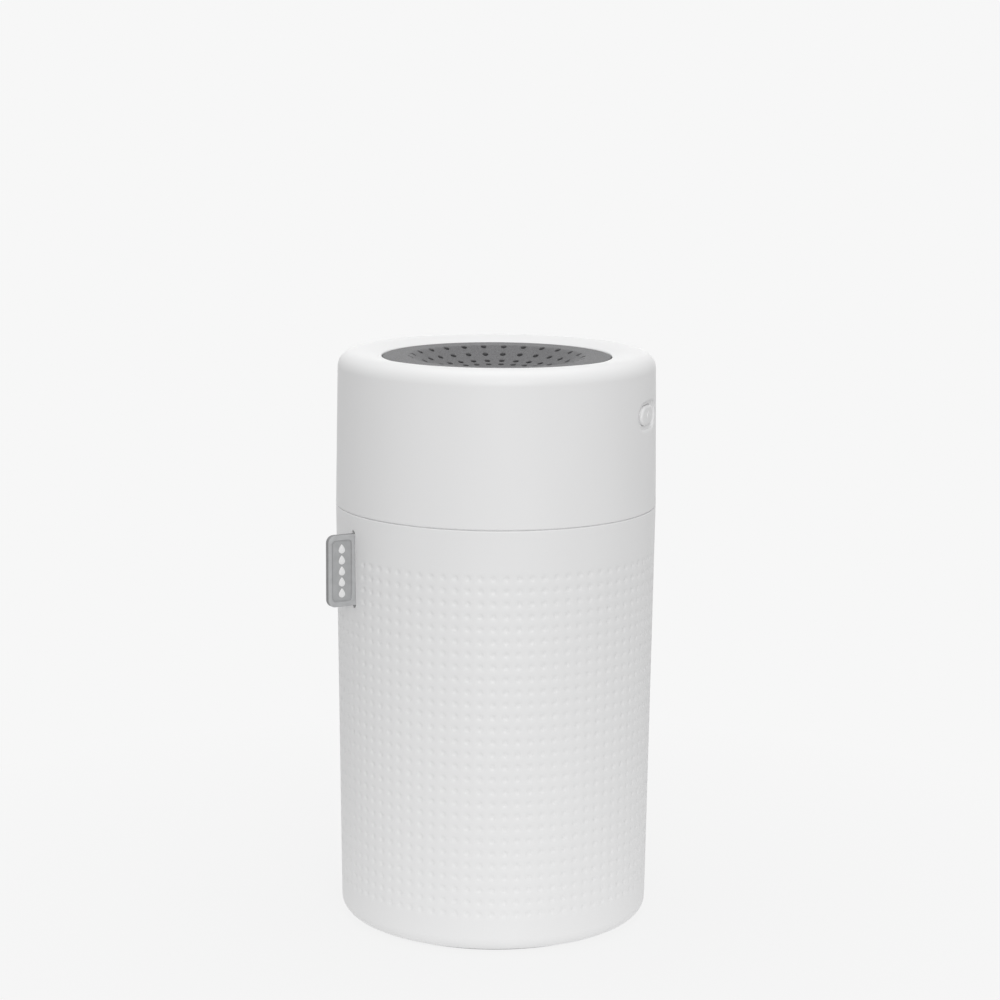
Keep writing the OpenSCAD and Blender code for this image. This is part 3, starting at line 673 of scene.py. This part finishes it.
def dimpled_wall(builder, low_z, flat_cell):
    """The sleeve's dimpled band, as square cells with a round hollow in each.

    Returns the lowest and the highest ring of vertices, and the angle at which they start.
    """
    side = CELL_EDGES
    count = side * DIMPLE_COLUMNS
    step = 360 / count
    first = DIMPLE_PHASE - side / 2 * step
    lattice = {}

    def border(i, j):
        key = (i % count, j)
        if key not in lattice:
            z = low_z + j * DIMPLE_PITCH / side
            lattice[key] = builder.add(at_angle(first + i * step, sleeve_r(z), z))
        return lattice[key]

    for row in range(DIMPLE_ROWS):
        z_mid = low_z + (row + 0.5) * DIMPLE_PITCH
        for column in range(DIMPLE_COLUMNS):
            angle = first + (column + 0.5) * side * step
            i, j = side * column, side * row
            loop = ([border(i + k, j) for k in range(side)]
                    + [border(i + side, j + k) for k in range(side)]
                    + [border(i + side - k, j + side) for k in range(side)]
                    + [border(i, j + side - k) for k in range(side)])
            depth = 0 if flat_cell(angle, z_mid) else DIMPLE_DEPTH
            for size, fall in DIMPLE_RINGS:
                points = []
                for k in range(4 * side):
                    a = math.radians(225 + 90 * k / side)
                    z = z_mid + DIMPLE_R * size * math.sin(a)
                    r = sleeve_r(z) - depth * fall
                    turn = math.degrees(DIMPLE_R * size * math.cos(a) / r)
                    points.append(at_angle(angle + turn, r, z))
                ring = builder.ring(points)
                builder.bridge(loop, ring)
                loop = ring
            builder.fan(loop, at_angle(angle, sleeve_r(z_mid) - depth, z_mid))
    bottom, top = ([border(i, j) for i in range(count)] for j in (0, side * DIMPLE_ROWS))
    return bottom, top, first


def strip(builder, start, outline, segments, phase, flip):
    """Continues a ring of vertices along an open outline that ends on the centre line."""
    ring = start
    for r, z in outline:
        if r < ON_AXIS:
            builder.fan(ring, (0, 0, z), flip)
            return
        higher = builder.ring(at_angle(phase + 360 * i / segments, r, z) for i in range(segments))
        builder.bridge(ring, higher, flip)
        ring = higher


def beside_tag(angle, z):
    """Whether a cell lies in the plain field round the tag."""
    across = abs((angle - TAG_ANGLE + 180) % 360 - 180)
    return across < PLAIN_HALF_ANGLE and z > tag_top - TAG_H - PLAIN_BELOW


def outer_sleeve():
    """Tank wall with its dimples, foot, rebate for the cup and slot for the tag."""
    low_z = dimple_top + DIMPLE_PITCH / 2 - DIMPLE_ROWS * DIMPLE_PITCH
    high_z = low_z + DIMPLE_ROWS * DIMPLE_PITCH
    builder = Builder()
    bottom, top, phase = dimpled_wall(builder, low_z, beside_tag)
    segments = len(bottom)
    rim_z, foot_z = sleeve_high.z, sleeve_low.z
    rebate_w, rebate_depth = 1.5, 2.9
    rebate_r, rebate_z = seam_r - rebate_w, rim_z - rebate_depth
    inner_r = seam_r - WALL
    floor_z, corner_r = foot_z + FLOOR_T, 1.2
    inner_low_r = sleeve_r(floor_z) - WALL
    upper = rounded_outline([
        (sleeve_r(high_z), high_z, 0), (sleeve_r(rim_z), rim_z, SOFT_EDGE), (rebate_r, rim_z, EDGE),
        (rebate_r, rebate_z, FIRM_EDGE), (inner_r, rebate_z, SOFT_EDGE),
        (inner_low_r, floor_z, corner_r), (CUP_RING_OUT_R, floor_z, EDGE),
        (CUP_RING_OUT_R, cup_low.z, EDGE), (CUP_RING_IN_R, cup_low.z, EDGE),
        (CUP_RING_IN_R, floor_z, EDGE), (0, floor_z, 0)], steps=5)[1:]
    groove_r, groove_in_r = pad_high.x + PAD_CLEAR, pad_high.x - PAD_W - PAD_CLEAR
    groove_z = foot_z + PAD_GROOVE
    lower = rounded_outline([
        (sleeve_r(low_z), low_z, 0), (sleeve_r(foot_z), foot_z, FOOT_R), (groove_r, foot_z, EDGE),
        (groove_r, groove_z, FINE_EDGE), (groove_in_r, groove_z, FINE_EDGE),
        (groove_in_r, foot_z, EDGE), (0, foot_z, 0)], steps=8)[1:]
    strip(builder, top, upper, segments, phase, False)
    strip(builder, bottom, lower, segments, phase, True)
    piece = builder.make_solid("outer_sleeve_dimpled")
    carve(piece, slot_tool())
    return place(piece, "tank", "white_shell", "outer_sleeve")


def slot_tool():
    """Block with round ends that cuts the tag's slot, with the pocket behind it."""
    overlap, inward, outward = 0.05, 4, 3
    outline = stadium_outline(TAG_H + 2 * SLOT_SPARE, TAG_T + SLOT_CLEAR, steps=8)
    layers = [[at_angle(TAG_ANGLE, r, tag_z + x, y) for x, y in outline]
              for r in (tag_wall_r - POCKET_DEPTH - overlap, tag_wall_r + outward)]
    tool = loft("slot_tool", layers)
    pocket = rounded_outline(box_corners(TAG_FOOT_W / 2 + POCKET_CLEAR,
                                         TAG_H / 2 + SLOT_SPARE + POCKET_SPARE, EDGE), steps=3)
    layers = [[at_angle(TAG_ANGLE, r, tag_z + y, x) for x, y in pocket]
              for r in (tag_wall_r - inward, tag_wall_r - POCKET_DEPTH)]
    carve(tool, loft("pocket_tool", layers), "UNION")
    return tool


def tank_cup():
    """Inner water cup with a flange, a fill line and softly rounded corners."""
    wall, floor_t, flange_t = 1.8, 2, 1.6
    line_depth, line_h = 0.4, 0.8
    rim_z, flange_z = cup_high.z, cup_high.z - flange_t
    flange_r = (cup_high.x - cup_low.x) / 2
    top_r, low_r = seam_r - WALL - 1, seam_r - WALL - 2.4
    floor_z = cup_low.z + floor_t
    line_z = seam_z - 24
    draft = (top_r - low_r) / (flange_z - cup_low.z)
    line_r = low_r - wall + draft * (line_z - cup_low.z)
    return place(lathe("tank_cup_moulded", [
        (0, cup_low.z, 0), (low_r, cup_low.z, 1.4), (top_r, flange_z, SOFT_EDGE),
        (flange_r, flange_z, EDGE), (flange_r, rim_z, 0.5), (top_r - wall, rim_z, 0.7),
        (line_r + 0.05, line_z + line_h / 2 + 0.5, FINE_EDGE),
        (line_r - line_depth, line_z + line_h / 2, FINE_EDGE),
        (line_r - line_depth, line_z - line_h / 2, FINE_EDGE),
        (low_r - wall, floor_z, 2.4), (0, floor_z, 0)], steps=6), "tank", "natural_plastic", "tank_cup")


def base_pad():
    """Soft ring under the foot, with two fine grooves in its tread."""
    outer, inner = pad_high.x, pad_high.x - PAD_W
    top = pad_high.z
    depth, floor_w, mouth_w, edge = 0.3, 0.4, 0.7, 0.08
    grooves = []
    for middle in (outer - 2.2, outer - 4.3):
        grooves += [(middle + mouth_w / 2, 0, edge), (middle + floor_w / 2, depth, edge),
                    (middle - floor_w / 2, depth, edge), (middle - mouth_w / 2, 0, edge)]
    return place(lathe("base_pad_soft", [
        (inner, 0, EDGE), (inner, top, FINE_EDGE), (outer, top, FINE_EDGE), (outer, 0, EDGE), *grooves],
        steps=4), "tank", "dark_rubber", "base_pad")


# ---------- tag ----------

def tag_layer(inset, depth, panel):
    """Outline of the plate drawn in by an inset. The panel's stays clear of the wall too."""
    if panel:
        inner, inner_radius, radius = inset, 1.0, 1.0
        half_h = TAG_H / 2 - inset - PANEL_MARGIN
    else:
        inner, inner_radius, radius = inset - TAG_ANCHOR, EDGE, TAG_CORNER_R - inset
        half_h = TAG_H / 2 - inset
    outer = TAG_REACH - inset
    outline = rounded_outline([(inner, -half_h, inner_radius), (outer, -half_h, radius),
                               (outer, half_h, radius), (inner, half_h, inner_radius)], steps=9)
    return [(x, y, depth) for x, y in outline]


def tag_plate():
    """The tag: a rounded plate with a fine groove round a panel on both faces, and painted shade on its
    edge.

    Each ring of a face has an inset from the outline and a depth below the face.
    """
    half_t = TAG_T / 2
    rounding = ((0, GROOVE_DEPTH + 0.02), (0, 0.2), (0.04, 0.08), (0.18, 0))
    groove = ((0.95, 0), (1.02, 0.08), (1.05, GROOVE_DEPTH), (1.35, GROOVE_DEPTH), (1.38, 0.17),
              (1.45, PANEL_SUNK))
    face = ([tag_layer(inset, half_t - depth, False) for inset, depth in rounding]
            + [tag_layer(inset, half_t - depth, True) for inset, depth in groove])
    back = [[(x, y, -depth) for x, y, depth in layer] for layer in face[::-1]]
    piece = loft("pull_tag", [[at_angle(TAG_ANGLE, tag_wall_r + x, tag_z + y, depth)
                               for x, y, depth in layer] for layer in back + face])
    outline = rounded_outline(box_corners(TAG_FOOT_W / 2, TAG_FOOT_H / 2, 0.5), steps=3)
    foot = [[at_angle(TAG_ANGLE, tag_wall_r - depth, tag_z + y, x) for x, y in outline]
            for depth in TAG_FOOT_DEPTHS]
    carve(piece, loft("tag_foot", foot), "UNION")
    place(piece, "tank", "tag_grey", "side_tag")
    piece.data.materials.append(material_for("tag_panel"))
    piece.data.materials.append(material_for("tag_edge_painted_shade"))
    turn = math.radians(TAG_ANGLE)
    across = Vector((math.cos(turn), math.sin(turn), 0))
    for polygon in piece.data.polygons:
        depth = abs(polygon.center.dot(across)) / MM
        if polygon.center.xy.length / MM < tag_wall_r:
            continue
        # The edge band between the two faces gets the darker grey, as painted shade
        if depth < half_t - GROOVE_DEPTH - 0.01:
            polygon.material_index = 2
        elif depth < half_t - PANEL_SUNK / 2:
            polygon.material_index = 1
    return piece


def raised_drop(builder, outline, middle_z):
    """One drop with a rounded top, which starts a little below the panel's face."""
    floor, sunk, crown = TAG_T / 2 - PANEL_SUNK, 0.05, 0.285

    def on_tag(x, y, height):
        return at_angle(TAG_ANGLE, tag_wall_r + TAG_REACH / 2 + x, middle_z + y, floor + height)

    rings = [builder.ring(on_tag(x * scale, y * scale, height) for x, y in outline)
             for scale, height in ((1.0, -sunk), (1.0, 0.14), (0.93, 0.22), (0.8, 0.26), (0.4, 0.28))]
    builder.stack(rings)
    builder.fan(rings[-1], on_tag(0, 0, crown))
    builder.fan(rings[0], on_tag(0, 0, -sunk), True)


def tag_marks():
    """A column of plain drops that stand up from the tag's panel."""
    pitch = (TAG_H - 2 * TAG_BORDER) / (TAG_MARKS + 0.6)
    outline = drop_outline(0.95, 0.9, taper=0.55, power=1.5, point=0.75, lowered=0.35)
    builder = Builder()
    for i in range(TAG_MARKS):
        raised_drop(builder, outline, tag_z + (i - (TAG_MARKS - 1) / 2) * pitch)
    piece = builder.make_solid("tag_drops")
    return place(piece, "tank", "mark_white", "tag_marks")


# ---------- head shell ----------

def wrapped(outline, r, z, angle=BUTTON_ANGLE):
    """Wraps a flat outline onto the head's wall at a radius."""
    return [at_angle(angle + math.degrees(x / r), r, z + y) for x, y in outline]


def recess_tool(name, angle, z, w, h, depth, flare):
    """Tray that follows the wall, with flared upper edges so that the cut has a soft rim.

    Each ring of its profile has a growth of the outline and a radius.
    """
    wall_r = shell_r(z)
    floor_r = wall_r - depth
    profile = ((-0.25, floor_r), (-0.08, floor_r + 0.07), (0, floor_r + 0.25),
               (0.03, wall_r - flare), (0.12, wall_r - flare * 0.45), (0.34, wall_r - flare * 0.12),
               (0.75, wall_r + 0.02), (1.6, wall_r + 0.35), (1.6, wall_r + CUT_SPARE))
    return loft(name, [wrapped(stadium_outline(w + 2 * grow, h + 2 * grow), r, z, angle)
                       for grow, r in profile])


def through_tool(name, angle, z, w, h):
    """Straight stadium-shaped cutter that points outwards through the wall."""
    wall_r, reach = shell_r(z), 6
    outline = stadium_outline(w, h)
    return loft(name, [[at_angle(angle, r, z + y, x) for x, y in outline]
                       for r in (wall_r - reach, wall_r + CUT_SPARE)])


def post(name, angle, radius, low, high):
    """Upright cylinder on the circle of the head's screws."""
    layers = []
    for z in (low, high):
        x, y, _ = at_angle(angle, BOSS_RING_R, z)
        layers.append([(x + radius * math.cos(a), y + radius * math.sin(a), z) for a in CIRCLE_32])
    return loft(name, layers)


def shell_section():
    """Section of the wall, rounded rim, lip and ledge, with a step that narrows the seam."""
    seam_gap, edge_drop, step_w = 0.06, 0.12, 0.28
    skirt_t, ledge_w, ledge_t = 2.4, 1.6, 1.6
    seam_low, edge_z = sleeve_high.z + seam_gap, shell_low.z - edge_drop
    bottom_r = shell_r(shell_low.z)
    inner, step_r = bottom_r - WALL, bottom_r - step_w
    skirt_r, ledge_r, ledge_bottom = opening_r + skirt_t, opening_r - ledge_w, ledge_z - ledge_t
    crown_w, crown_steps = crest_r - opening_r - LIP_R, 10
    crown = [(r, crown_z(r), 0) for r in
             (crest_r - crown_w * t / crown_steps for t in range(1, crown_steps + 1))]
    return rounded_outline([
        (inner, seam_low, 0.15), (step_r, seam_low, SHARP_EDGE), (step_r, edge_z, SHARP_EDGE),
        (bottom_r, edge_z, 0.12), (shoulder_wall_r, top_z, SHOULDER_R), *crown,
        (opening_r, crown_z(opening_r) + 0.1, LIP_R * 0.6), (opening_r, ledge_z, FINE_EDGE),
        (ledge_r, ledge_z, FIRM_EDGE), (ledge_r, ledge_bottom, FIRM_EDGE),
        (skirt_r, ledge_bottom, FIRM_EDGE), (skirt_r, top_z - WALL, SOFT_EDGE),
        (shoulder_wall_r - WALL, top_z - WALL, SHOULDER_R - WALL)])


def head_shell():
    """The turned shell with its screw posts and the openings of the button and the inlet."""
    builder = Builder()
    revolve(builder, shell_section(), segments=288)
    piece = builder.make_solid("head_shell_moulded")
    for angle in BOSS_ANGLES:
        carve(piece, post("boss", angle, BOSS_R, base_top + 0.1, top_z - WALL), "UNION")
        carve(piece, post("screw_hole", angle, SCREW_HOLE_R, base_top - 1, base_top + SCREW_HOLE_DEPTH))
    carve(piece, recess_tool("recess", BUTTON_ANGLE, button_z, BUTTON_W + RECESS_SPARE_W,
                             BUTTON_H + RECESS_SPARE_H, RECESS_DEPTH, 0.35))
    carve(piece, through_tool("button_way", BUTTON_ANGLE, button_z, BUTTON_W + 2 * BUTTON_GAP,
                              BUTTON_H + 2 * BUTTON_GAP))
    usb_z = (usb_low.z + usb_high.z) / 2
    carve(piece, recess_tool("port_recess", PORT_ANGLE, usb_z, PORT_RECESS_W, PORT_RECESS_H,
                             PORT_RECESS_DEPTH, 0.3))
    carve(piece, through_tool("port_way", PORT_ANGLE, usb_z, PORT_W, PORT_H))
    return place(piece, "head", "white_shell", "head_shell")


def power_button():
    """Cap that follows the wall's curve, with a soft edge, a raised drop, a keeper and a stem."""
    cap_sunk, keeper_gap = 0.05, 0.3
    wall_r = shell_r(button_z)
    cap_r, keeper_r = wall_r - cap_sunk, wall_r - WALL - keeper_gap
    profile = ((KEEPER_SPARE, keeper_r - KEEPER_T), (KEEPER_SPARE, keeper_r), (0, keeper_r),
               (0, cap_r - 0.55), (-0.06, cap_r - 0.3), (-0.22, cap_r - 0.12), (-0.5, cap_r - 0.02),
               (-0.9, cap_r))
    piece = loft("power_button_cap", [
        wrapped(stadium_outline(BUTTON_W + 2 * grow, BUTTON_H + 2 * grow), r, button_z)
        for grow, r in profile])
    drop = drop_outline(0.85, 1.1, taper=0.62, power=2.2, steps=24)
    carve(piece, loft("drop", [
        wrapped([(x * scale, y * scale) for x, y in drop], r, button_z)
        for scale, r in ((1.05, cap_r - 0.3), (1.0, cap_r + 0.02), (0.86, cap_r + 0.045))]), "UNION")
    stem = [[at_angle(BUTTON_ANGLE, r, button_z + STEM_R * math.sin(a), STEM_R * math.cos(a))
             for a in CIRCLE_32] for r in (STEM_IN_R, keeper_r - 0.5)]
    carve(piece, loft("stem", stem), "UNION")
    return place(piece, "button", "white_shell", "power_button")


# ---------- grille ----------

def grille():
    """Dished plate in which every hole has a softened edge, with a skirt that sits on the ledge."""
    edge_r = opening_r - GRILLE_GAP
    middles = [(a + b) / 2 for a, b in zip(DISH_RINGS, DISH_RINGS[1:])]
    outer_margin, inner_margin = 1.8, 1.75
    bounds = [DISH_RINGS[0] + outer_margin, *middles, DISH_RINGS[-1] - inner_margin]
    top_bevel, low_bevel = 0.12, 0.06
    side = 6
    segments = side * HOLES_PER_RING
    step = 360 / segments
    first = HOLE_PHASE - side / 2 * step
    builder = Builder()

    def ring_at(r, z):
        return builder.ring(at_angle(first + i * step, r, z) for i in range(segments))

    def hole_ring(middle, angle, size, depth):
        points = []
        for k in range(4 * side):
            a = math.radians(225 + 90 * k / side)
            r = middle + size * math.sin(a)
            turn = math.degrees(size * math.cos(a) / middle)
            points.append(at_angle(angle + turn, r, dish_z(r) - depth))
        return builder.ring(points)

    def perforated(drop, hole_r, bevel, flip):
        """One face of the plate: returns its outer ring, inner ring and the rims of its holes."""
        lattice, rims = {}, []

        def border(i, j):
            key = (i % segments, j)
            if key not in lattice:
                band, part = divmod(j, side)
                r = bounds[band]
                if part:
                    r += (bounds[band + 1] - bounds[band]) * part / side
                lattice[key] = builder.add(at_angle(first + i * step, r, dish_z(r) - drop))
            return lattice[key]

        for band, middle in enumerate(DISH_RINGS):
            for column in range(HOLES_PER_RING):
                i, j = side * column, side * band
                angle = first + (i + side / 2) * step
                loop = ([border(i + k, j + side) for k in range(side)]
                        + [border(i + side, j + side - k) for k in range(side)]
                        + [border(i + side - k, j) for k in range(side)]
                        + [border(i, j + k) for k in range(side)])
                sizes = ((hole_r + bevel * 3, 0), (hole_r + bevel, 0),
                         (hole_r + bevel * 0.3, bevel * 0.3), (hole_r, bevel))
                for size, fall in sizes:
                    ring = hole_ring(middle, angle, size, drop + (fall if not flip else -fall))
                    builder.bridge(loop, ring, flip)
                    loop = ring
                rims.append(loop)
        outer = [border(i, 0) for i in range(segments)]
        inner = [border(i, side * len(DISH_RINGS)) for i in range(segments)]
        return outer, inner, rims

    def extend(ring, stations, flip=False):
        for r, z in stations:
            higher = ring_at(r, z)
            builder.bridge(ring, higher, flip)
            ring = higher
        return ring

    top_outer, top_inner, top_rims = perforated(0, HOLE_R, top_bevel, False)
    low_outer, low_inner, low_rims = perforated(GRILLE_T, COUNTERBORE_R, low_bevel, True)
    places = [(middle, first + (side * column + side / 2) * step)
              for middle in DISH_RINGS for column in range(HOLES_PER_RING)]
    for upper, lower, (middle, angle) in zip(top_rims, low_rims, places):
        loop = upper
        for size, depth in ((HOLE_R, WEB_T), (COUNTERBORE_R, WEB_T + 0.05)):
            ring = hole_ring(middle, angle, size, depth)
            builder.bridge(loop, ring)
            loop = ring
        builder.bridge(loop, lower)
    bore, floor = outlet_out_r + 0.3, dish_z(0)
    bowl = [(r, dish_z(r)) for r in (12, 11, 10, 9, 8)]
    ring = extend(top_inner, (
        *bowl, (bore + EDGE, floor), (bore, floor - EDGE), (bore, floor - GRILLE_T + FIRM_EDGE),
        (bore + FIRM_EDGE, floor - GRILLE_T), *[(r, z - GRILLE_T) for r, z in bowl[::-1]]), True)
    builder.bridge(ring, low_inner, True)
    skirt_t, top = 1, dish_z(edge_r)
    skirt_r = edge_r - skirt_t
    band = [(r, dish_z(r)) for r in (27.5, 29)]
    ring = extend(top_outer, (
        *band, (30.5, top), (edge_r - 0.5, top), (edge_r - 0.15, top - 0.08), (edge_r, top - EDGE),
        (edge_r, ledge_z + FIRM_EDGE), (edge_r - 0.15, ledge_z), (skirt_r + 0.15, ledge_z),
        (skirt_r, ledge_z + FIRM_EDGE), (skirt_r, top - GRILLE_T - EDGE),
        (skirt_r - EDGE, top - GRILLE_T), *[(r, z - GRILLE_T) for r, z in band[::-1]]))
    builder.bridge(ring, low_outer)
    piece = builder.make_solid("grille_dish")
    return place(piece, "head", "grille_grey", "grille")


def nozzle_ring():
    """Mist outlet: a low rounded flange on a straight spout."""
    outer, low, high = nozzle_high.x, nozzle_low.z, nozzle_high.z
    bore, flange_z = outlet_out_r - OUTLET_WALL, high - NOZZLE_FLANGE_T
    return place(lathe("nozzle_ring_turned", [
        (bore, low, FIRM_EDGE), (outlet_out_r, low, FIRM_EDGE), (outlet_out_r, flange_z, FINE_EDGE),
        (outer, flange_z, 0.15), (outer, high, EDGE), (bore, high, SOFT_EDGE)], segments=160),
        "head", "grille_grey", "nozzle_ring")


def wick_spring():
    """Close wire coil under the wick, with its end turns squared off."""
    wire, turns, closed = 0.35, 5, 0.6
    coil_r = (spring_high.x - spring_low.x) / 2 - wire
    low, high = spring_low.z + wire, spring_high.z - wire
    steps, sides = 28, 10
    builder = Builder()
    rings = []
    for i in range(turns * steps + 1):
        t = i / (turns * steps)
        rise = min(max((t * turns - closed) / (turns - 2 * closed), 0), 1)
        a = math.tau * t * turns
        out = Vector((math.cos(a), math.sin(a), 0))
        centre = out * coil_r + Vector((0, 0, low + (high - low) * rise))
        rings.append(builder.ring(
            centre + wire * (math.cos(b) * out + math.sin(b) * Vector((0, 0, 1)))
            for b in [math.tau * k / sides for k in range(sides)]))
    builder.stack(rings)
    builder.fan(rings[0], np.mean([builder.points[i] for i in rings[0]], axis=0), True)
    builder.fan(rings[-1], np.mean([builder.points[i] for i in rings[-1]], axis=0))
    piece = builder.make_solid("wick_spring_coil")
    return place(piece, "head", "steel", "wick_spring")


# Width of the softened edges of CAD nodes, and how sharp an edge has to be to get one
SOFT_EDGES = {"head_base": 0.2, "wick_tube": 0.2, "wick_cap": 0.25, "usb_socket": 0.05,
              "atomizer_clamp": 0.15, "light_diffuser": 0.15, "base_screws": 0.08,
              "usb_tongue": 0.06, "battery": 0.1, "tact_switch": 0.15, "main_board": 0.05}
SHARP_DEGREES = 50


def dress_cad_nodes():
    """Gives every CAD node its material, and some of them softened edges."""
    for part in frame["record"]["subparts"]:
        node = frame["nodes"][part["node"]]
        node.data.materials.clear()
        node.data.materials.append(material_for(part["material_slot"]))
        width = SOFT_EDGES.get(part["node"])
        if width:
            bevel = node.modifiers.new("soft_edges", "BEVEL")
            bevel.width = width * MM
            bevel.segments = 2
            bevel.limit_method = "ANGLE"
            bevel.angle_limit = math.radians(SHARP_DEGREES)
            bevel.harden_normals = False


# ---------- stage ----------

# Brightness of the floor and surroundings as seen, and as lights on the object
PALE = 0.93
SKY_LIGHT = 0.54
NEAR_FLOOR = 0.76
FLOOR_LIGHT = 0.34

# Distances from the object, in metres, over which the floor's light and its shadow fade, and the
# share of even brightness at both ends of the shadow's fade
LIGHT_FADE = (0.05, 0.35)
SHADOW_FADE = (0.05, 0.22)
SHADOW_BLEND = (0.88, 1.0)
FLOOR_HALF = 4000

# Place and size of each softbox in metres, and its power in watts
SOFTBOXES = {
    "front_softbox": ((0.1, -1.1, 0.55), 0.7, 5.4),
    "top_softbox": ((0.0, 0.15, 1.3), 1.0, 4.6),
    "back_softbox": ((0.0, 1.3, 0.1), 0.8, 1.6),
}

# Camera: how far it is in front of the seam's middle and above it, in the seam's radii, and its
# angles in degrees
SENSOR_MM = 36
LENS_MM = 99.513
CAMERA_BACK = 17.061
CAMERA_UP = 3.025
CAMERA_PITCH = 10.032
CAMERA_YAW = 0.086
CAMERA_ROLL = 0.407


def camera_sees(tree, lit, seen):
    """Mixes what the camera and reflections see with what lights the object."""
    path = tree.nodes.new("ShaderNodeLightPath")
    either = tree.nodes.new("ShaderNodeMath")
    either.operation = "MAXIMUM"
    blend = tree.nodes.new("ShaderNodeMixShader")
    tree.links.new(path.outputs["Is Camera Ray"], either.inputs[0])
    tree.links.new(path.outputs["Is Glossy Ray"], either.inputs[1])
    tree.links.new(either.outputs["Value"], blend.inputs["Fac"])
    tree.links.new(lit, blend.inputs[1])
    tree.links.new(seen, blend.inputs[2])
    return blend.outputs["Shader"]


def glow(tree, level):
    """Plain white light of one level."""
    made = tree.nodes.new("ShaderNodeEmission")
    made.inputs["Color"].default_value = (level, level, level, 1)
    return made.outputs["Emission"]


def floor():
    """Plain pale floor with a trace of shadow close to the object."""
    builder = Builder()
    builder.faces.append(builder.ring((x, y, 0) for x, y, _ in box_corners(FLOOR_HALF, FLOOR_HALF, 0)))
    ground = builder.make("floor")
    material = bpy.data.materials.new("floor")
    material.use_nodes = True
    tree = material.node_tree
    matt = tree.nodes["Principled BSDF"]
    matt.inputs["Base Color"].default_value = (0.8, 0.8, 0.8, 1)
    matt.inputs["Roughness"].default_value = 0.9
    matt.inputs["Specular IOR Level"].default_value = 0.0
    place = tree.nodes.new("ShaderNodeTexCoord")
    distance = tree.nodes.new("ShaderNodeVectorMath")
    distance.operation = "LENGTH"
    fade = map_range(tree, *SHADOW_FADE, *SHADOW_BLEND)
    blend = tree.nodes.new("ShaderNodeMixShader")
    tree.links.new(place.outputs["Object"], distance.inputs[0])
    tree.links.new(distance.outputs["Value"], fade.inputs["Value"])
    tree.links.new(fade.outputs["Result"], blend.inputs["Fac"])
    tree.links.new(matt.outputs["BSDF"], blend.inputs[1])
    tree.links.new(glow(tree, PALE), blend.inputs[2])
    near = map_range(tree, *LIGHT_FADE, NEAR_FLOOR, FLOOR_LIGHT)
    lit = tree.nodes.new("ShaderNodeEmission")
    tree.links.new(distance.outputs["Value"], near.inputs["Value"])
    tree.links.new(near.outputs["Result"], lit.inputs["Strength"])
    shown = camera_sees(tree, lit.outputs["Emission"], blend.outputs["Shader"])
    tree.links.new(shown, tree.nodes["Material Output"].inputs["Surface"])
    ground.data.materials.append(material)


def backdrop():
    """Even pale surroundings, dimmer as a light than as a background."""
    world = bpy.data.worlds.new("surroundings")
    world.use_nodes = True
    bpy.context.scene.world = world
    tree = world.node_tree
    seen = tree.nodes["Background"]
    seen.inputs["Color"].default_value = (PALE, PALE, PALE, 1)
    lit = tree.nodes.new("ShaderNodeBackground")
    lit.inputs["Color"].default_value = (SKY_LIGHT, SKY_LIGHT, SKY_LIGHT, 1)
    shown = camera_sees(tree, lit.outputs["Background"], seen.outputs["Background"])
    tree.links.new(shown, tree.nodes["World Output"].inputs["Surface"])


def softbox(name, spot, size, power):
    """Square area light that points at the middle of the object."""
    light = bpy.data.lights.new(name, "AREA")
    light.size = size
    light.energy = power
    lamp = bpy.data.objects.new(name, light)
    lamp.location = spot
    aim = Vector((0, 0, top_z * MM / 2)) - Vector(spot)
    lamp.rotation_euler = aim.to_track_quat("-Z", "Y").to_euler()
    bpy.context.scene.collection.objects.link(lamp)


def camera():
    """Long lens a little above the object, in front of it."""
    scene = bpy.context.scene
    eye = bpy.data.objects.new("camera", bpy.data.cameras.new("camera"))
    eye.data.sensor_width = SENSOR_MM
    eye.data.lens = LENS_MM
    pitch, yaw, roll = (math.radians(a) for a in (CAMERA_PITCH, CAMERA_YAW, CAMERA_ROLL))
    ahead = Vector((math.sin(yaw) * math.cos(pitch), math.cos(yaw) * math.cos(pitch), -math.sin(pitch)))
    right = Vector((math.cos(yaw), -math.sin(yaw), 0))
    up = right.cross(ahead)
    tilted_right = right * math.cos(roll) + up * math.sin(roll)
    tilted_up = up * math.cos(roll) - right * math.sin(roll)
    turn = Matrix((tilted_right, tilted_up, -ahead)).transposed()
    spot = Vector((0, -CAMERA_BACK * seam_r * MM, (seam_z + CAMERA_UP * seam_r) * MM))
    eye.matrix_world = Matrix.Translation(spot) @ turn.to_4x4()
    scene.collection.objects.link(eye)
    scene.camera = eye


def lights():
    """Softboxes, shown without a film curve."""
    bpy.context.scene.view_settings.view_transform = "Standard"
    for name, (spot, size, power) in SOFTBOXES.items():
        softbox(name, spot, size, power)


camera()
floor()
backdrop()
lights()
dress_cad_nodes()
outer_sleeve()
tank_cup()
base_pad()
tag_plate()
tag_marks()
head_shell()
power_button()
grille()
nozzle_ring()
wick_spring()
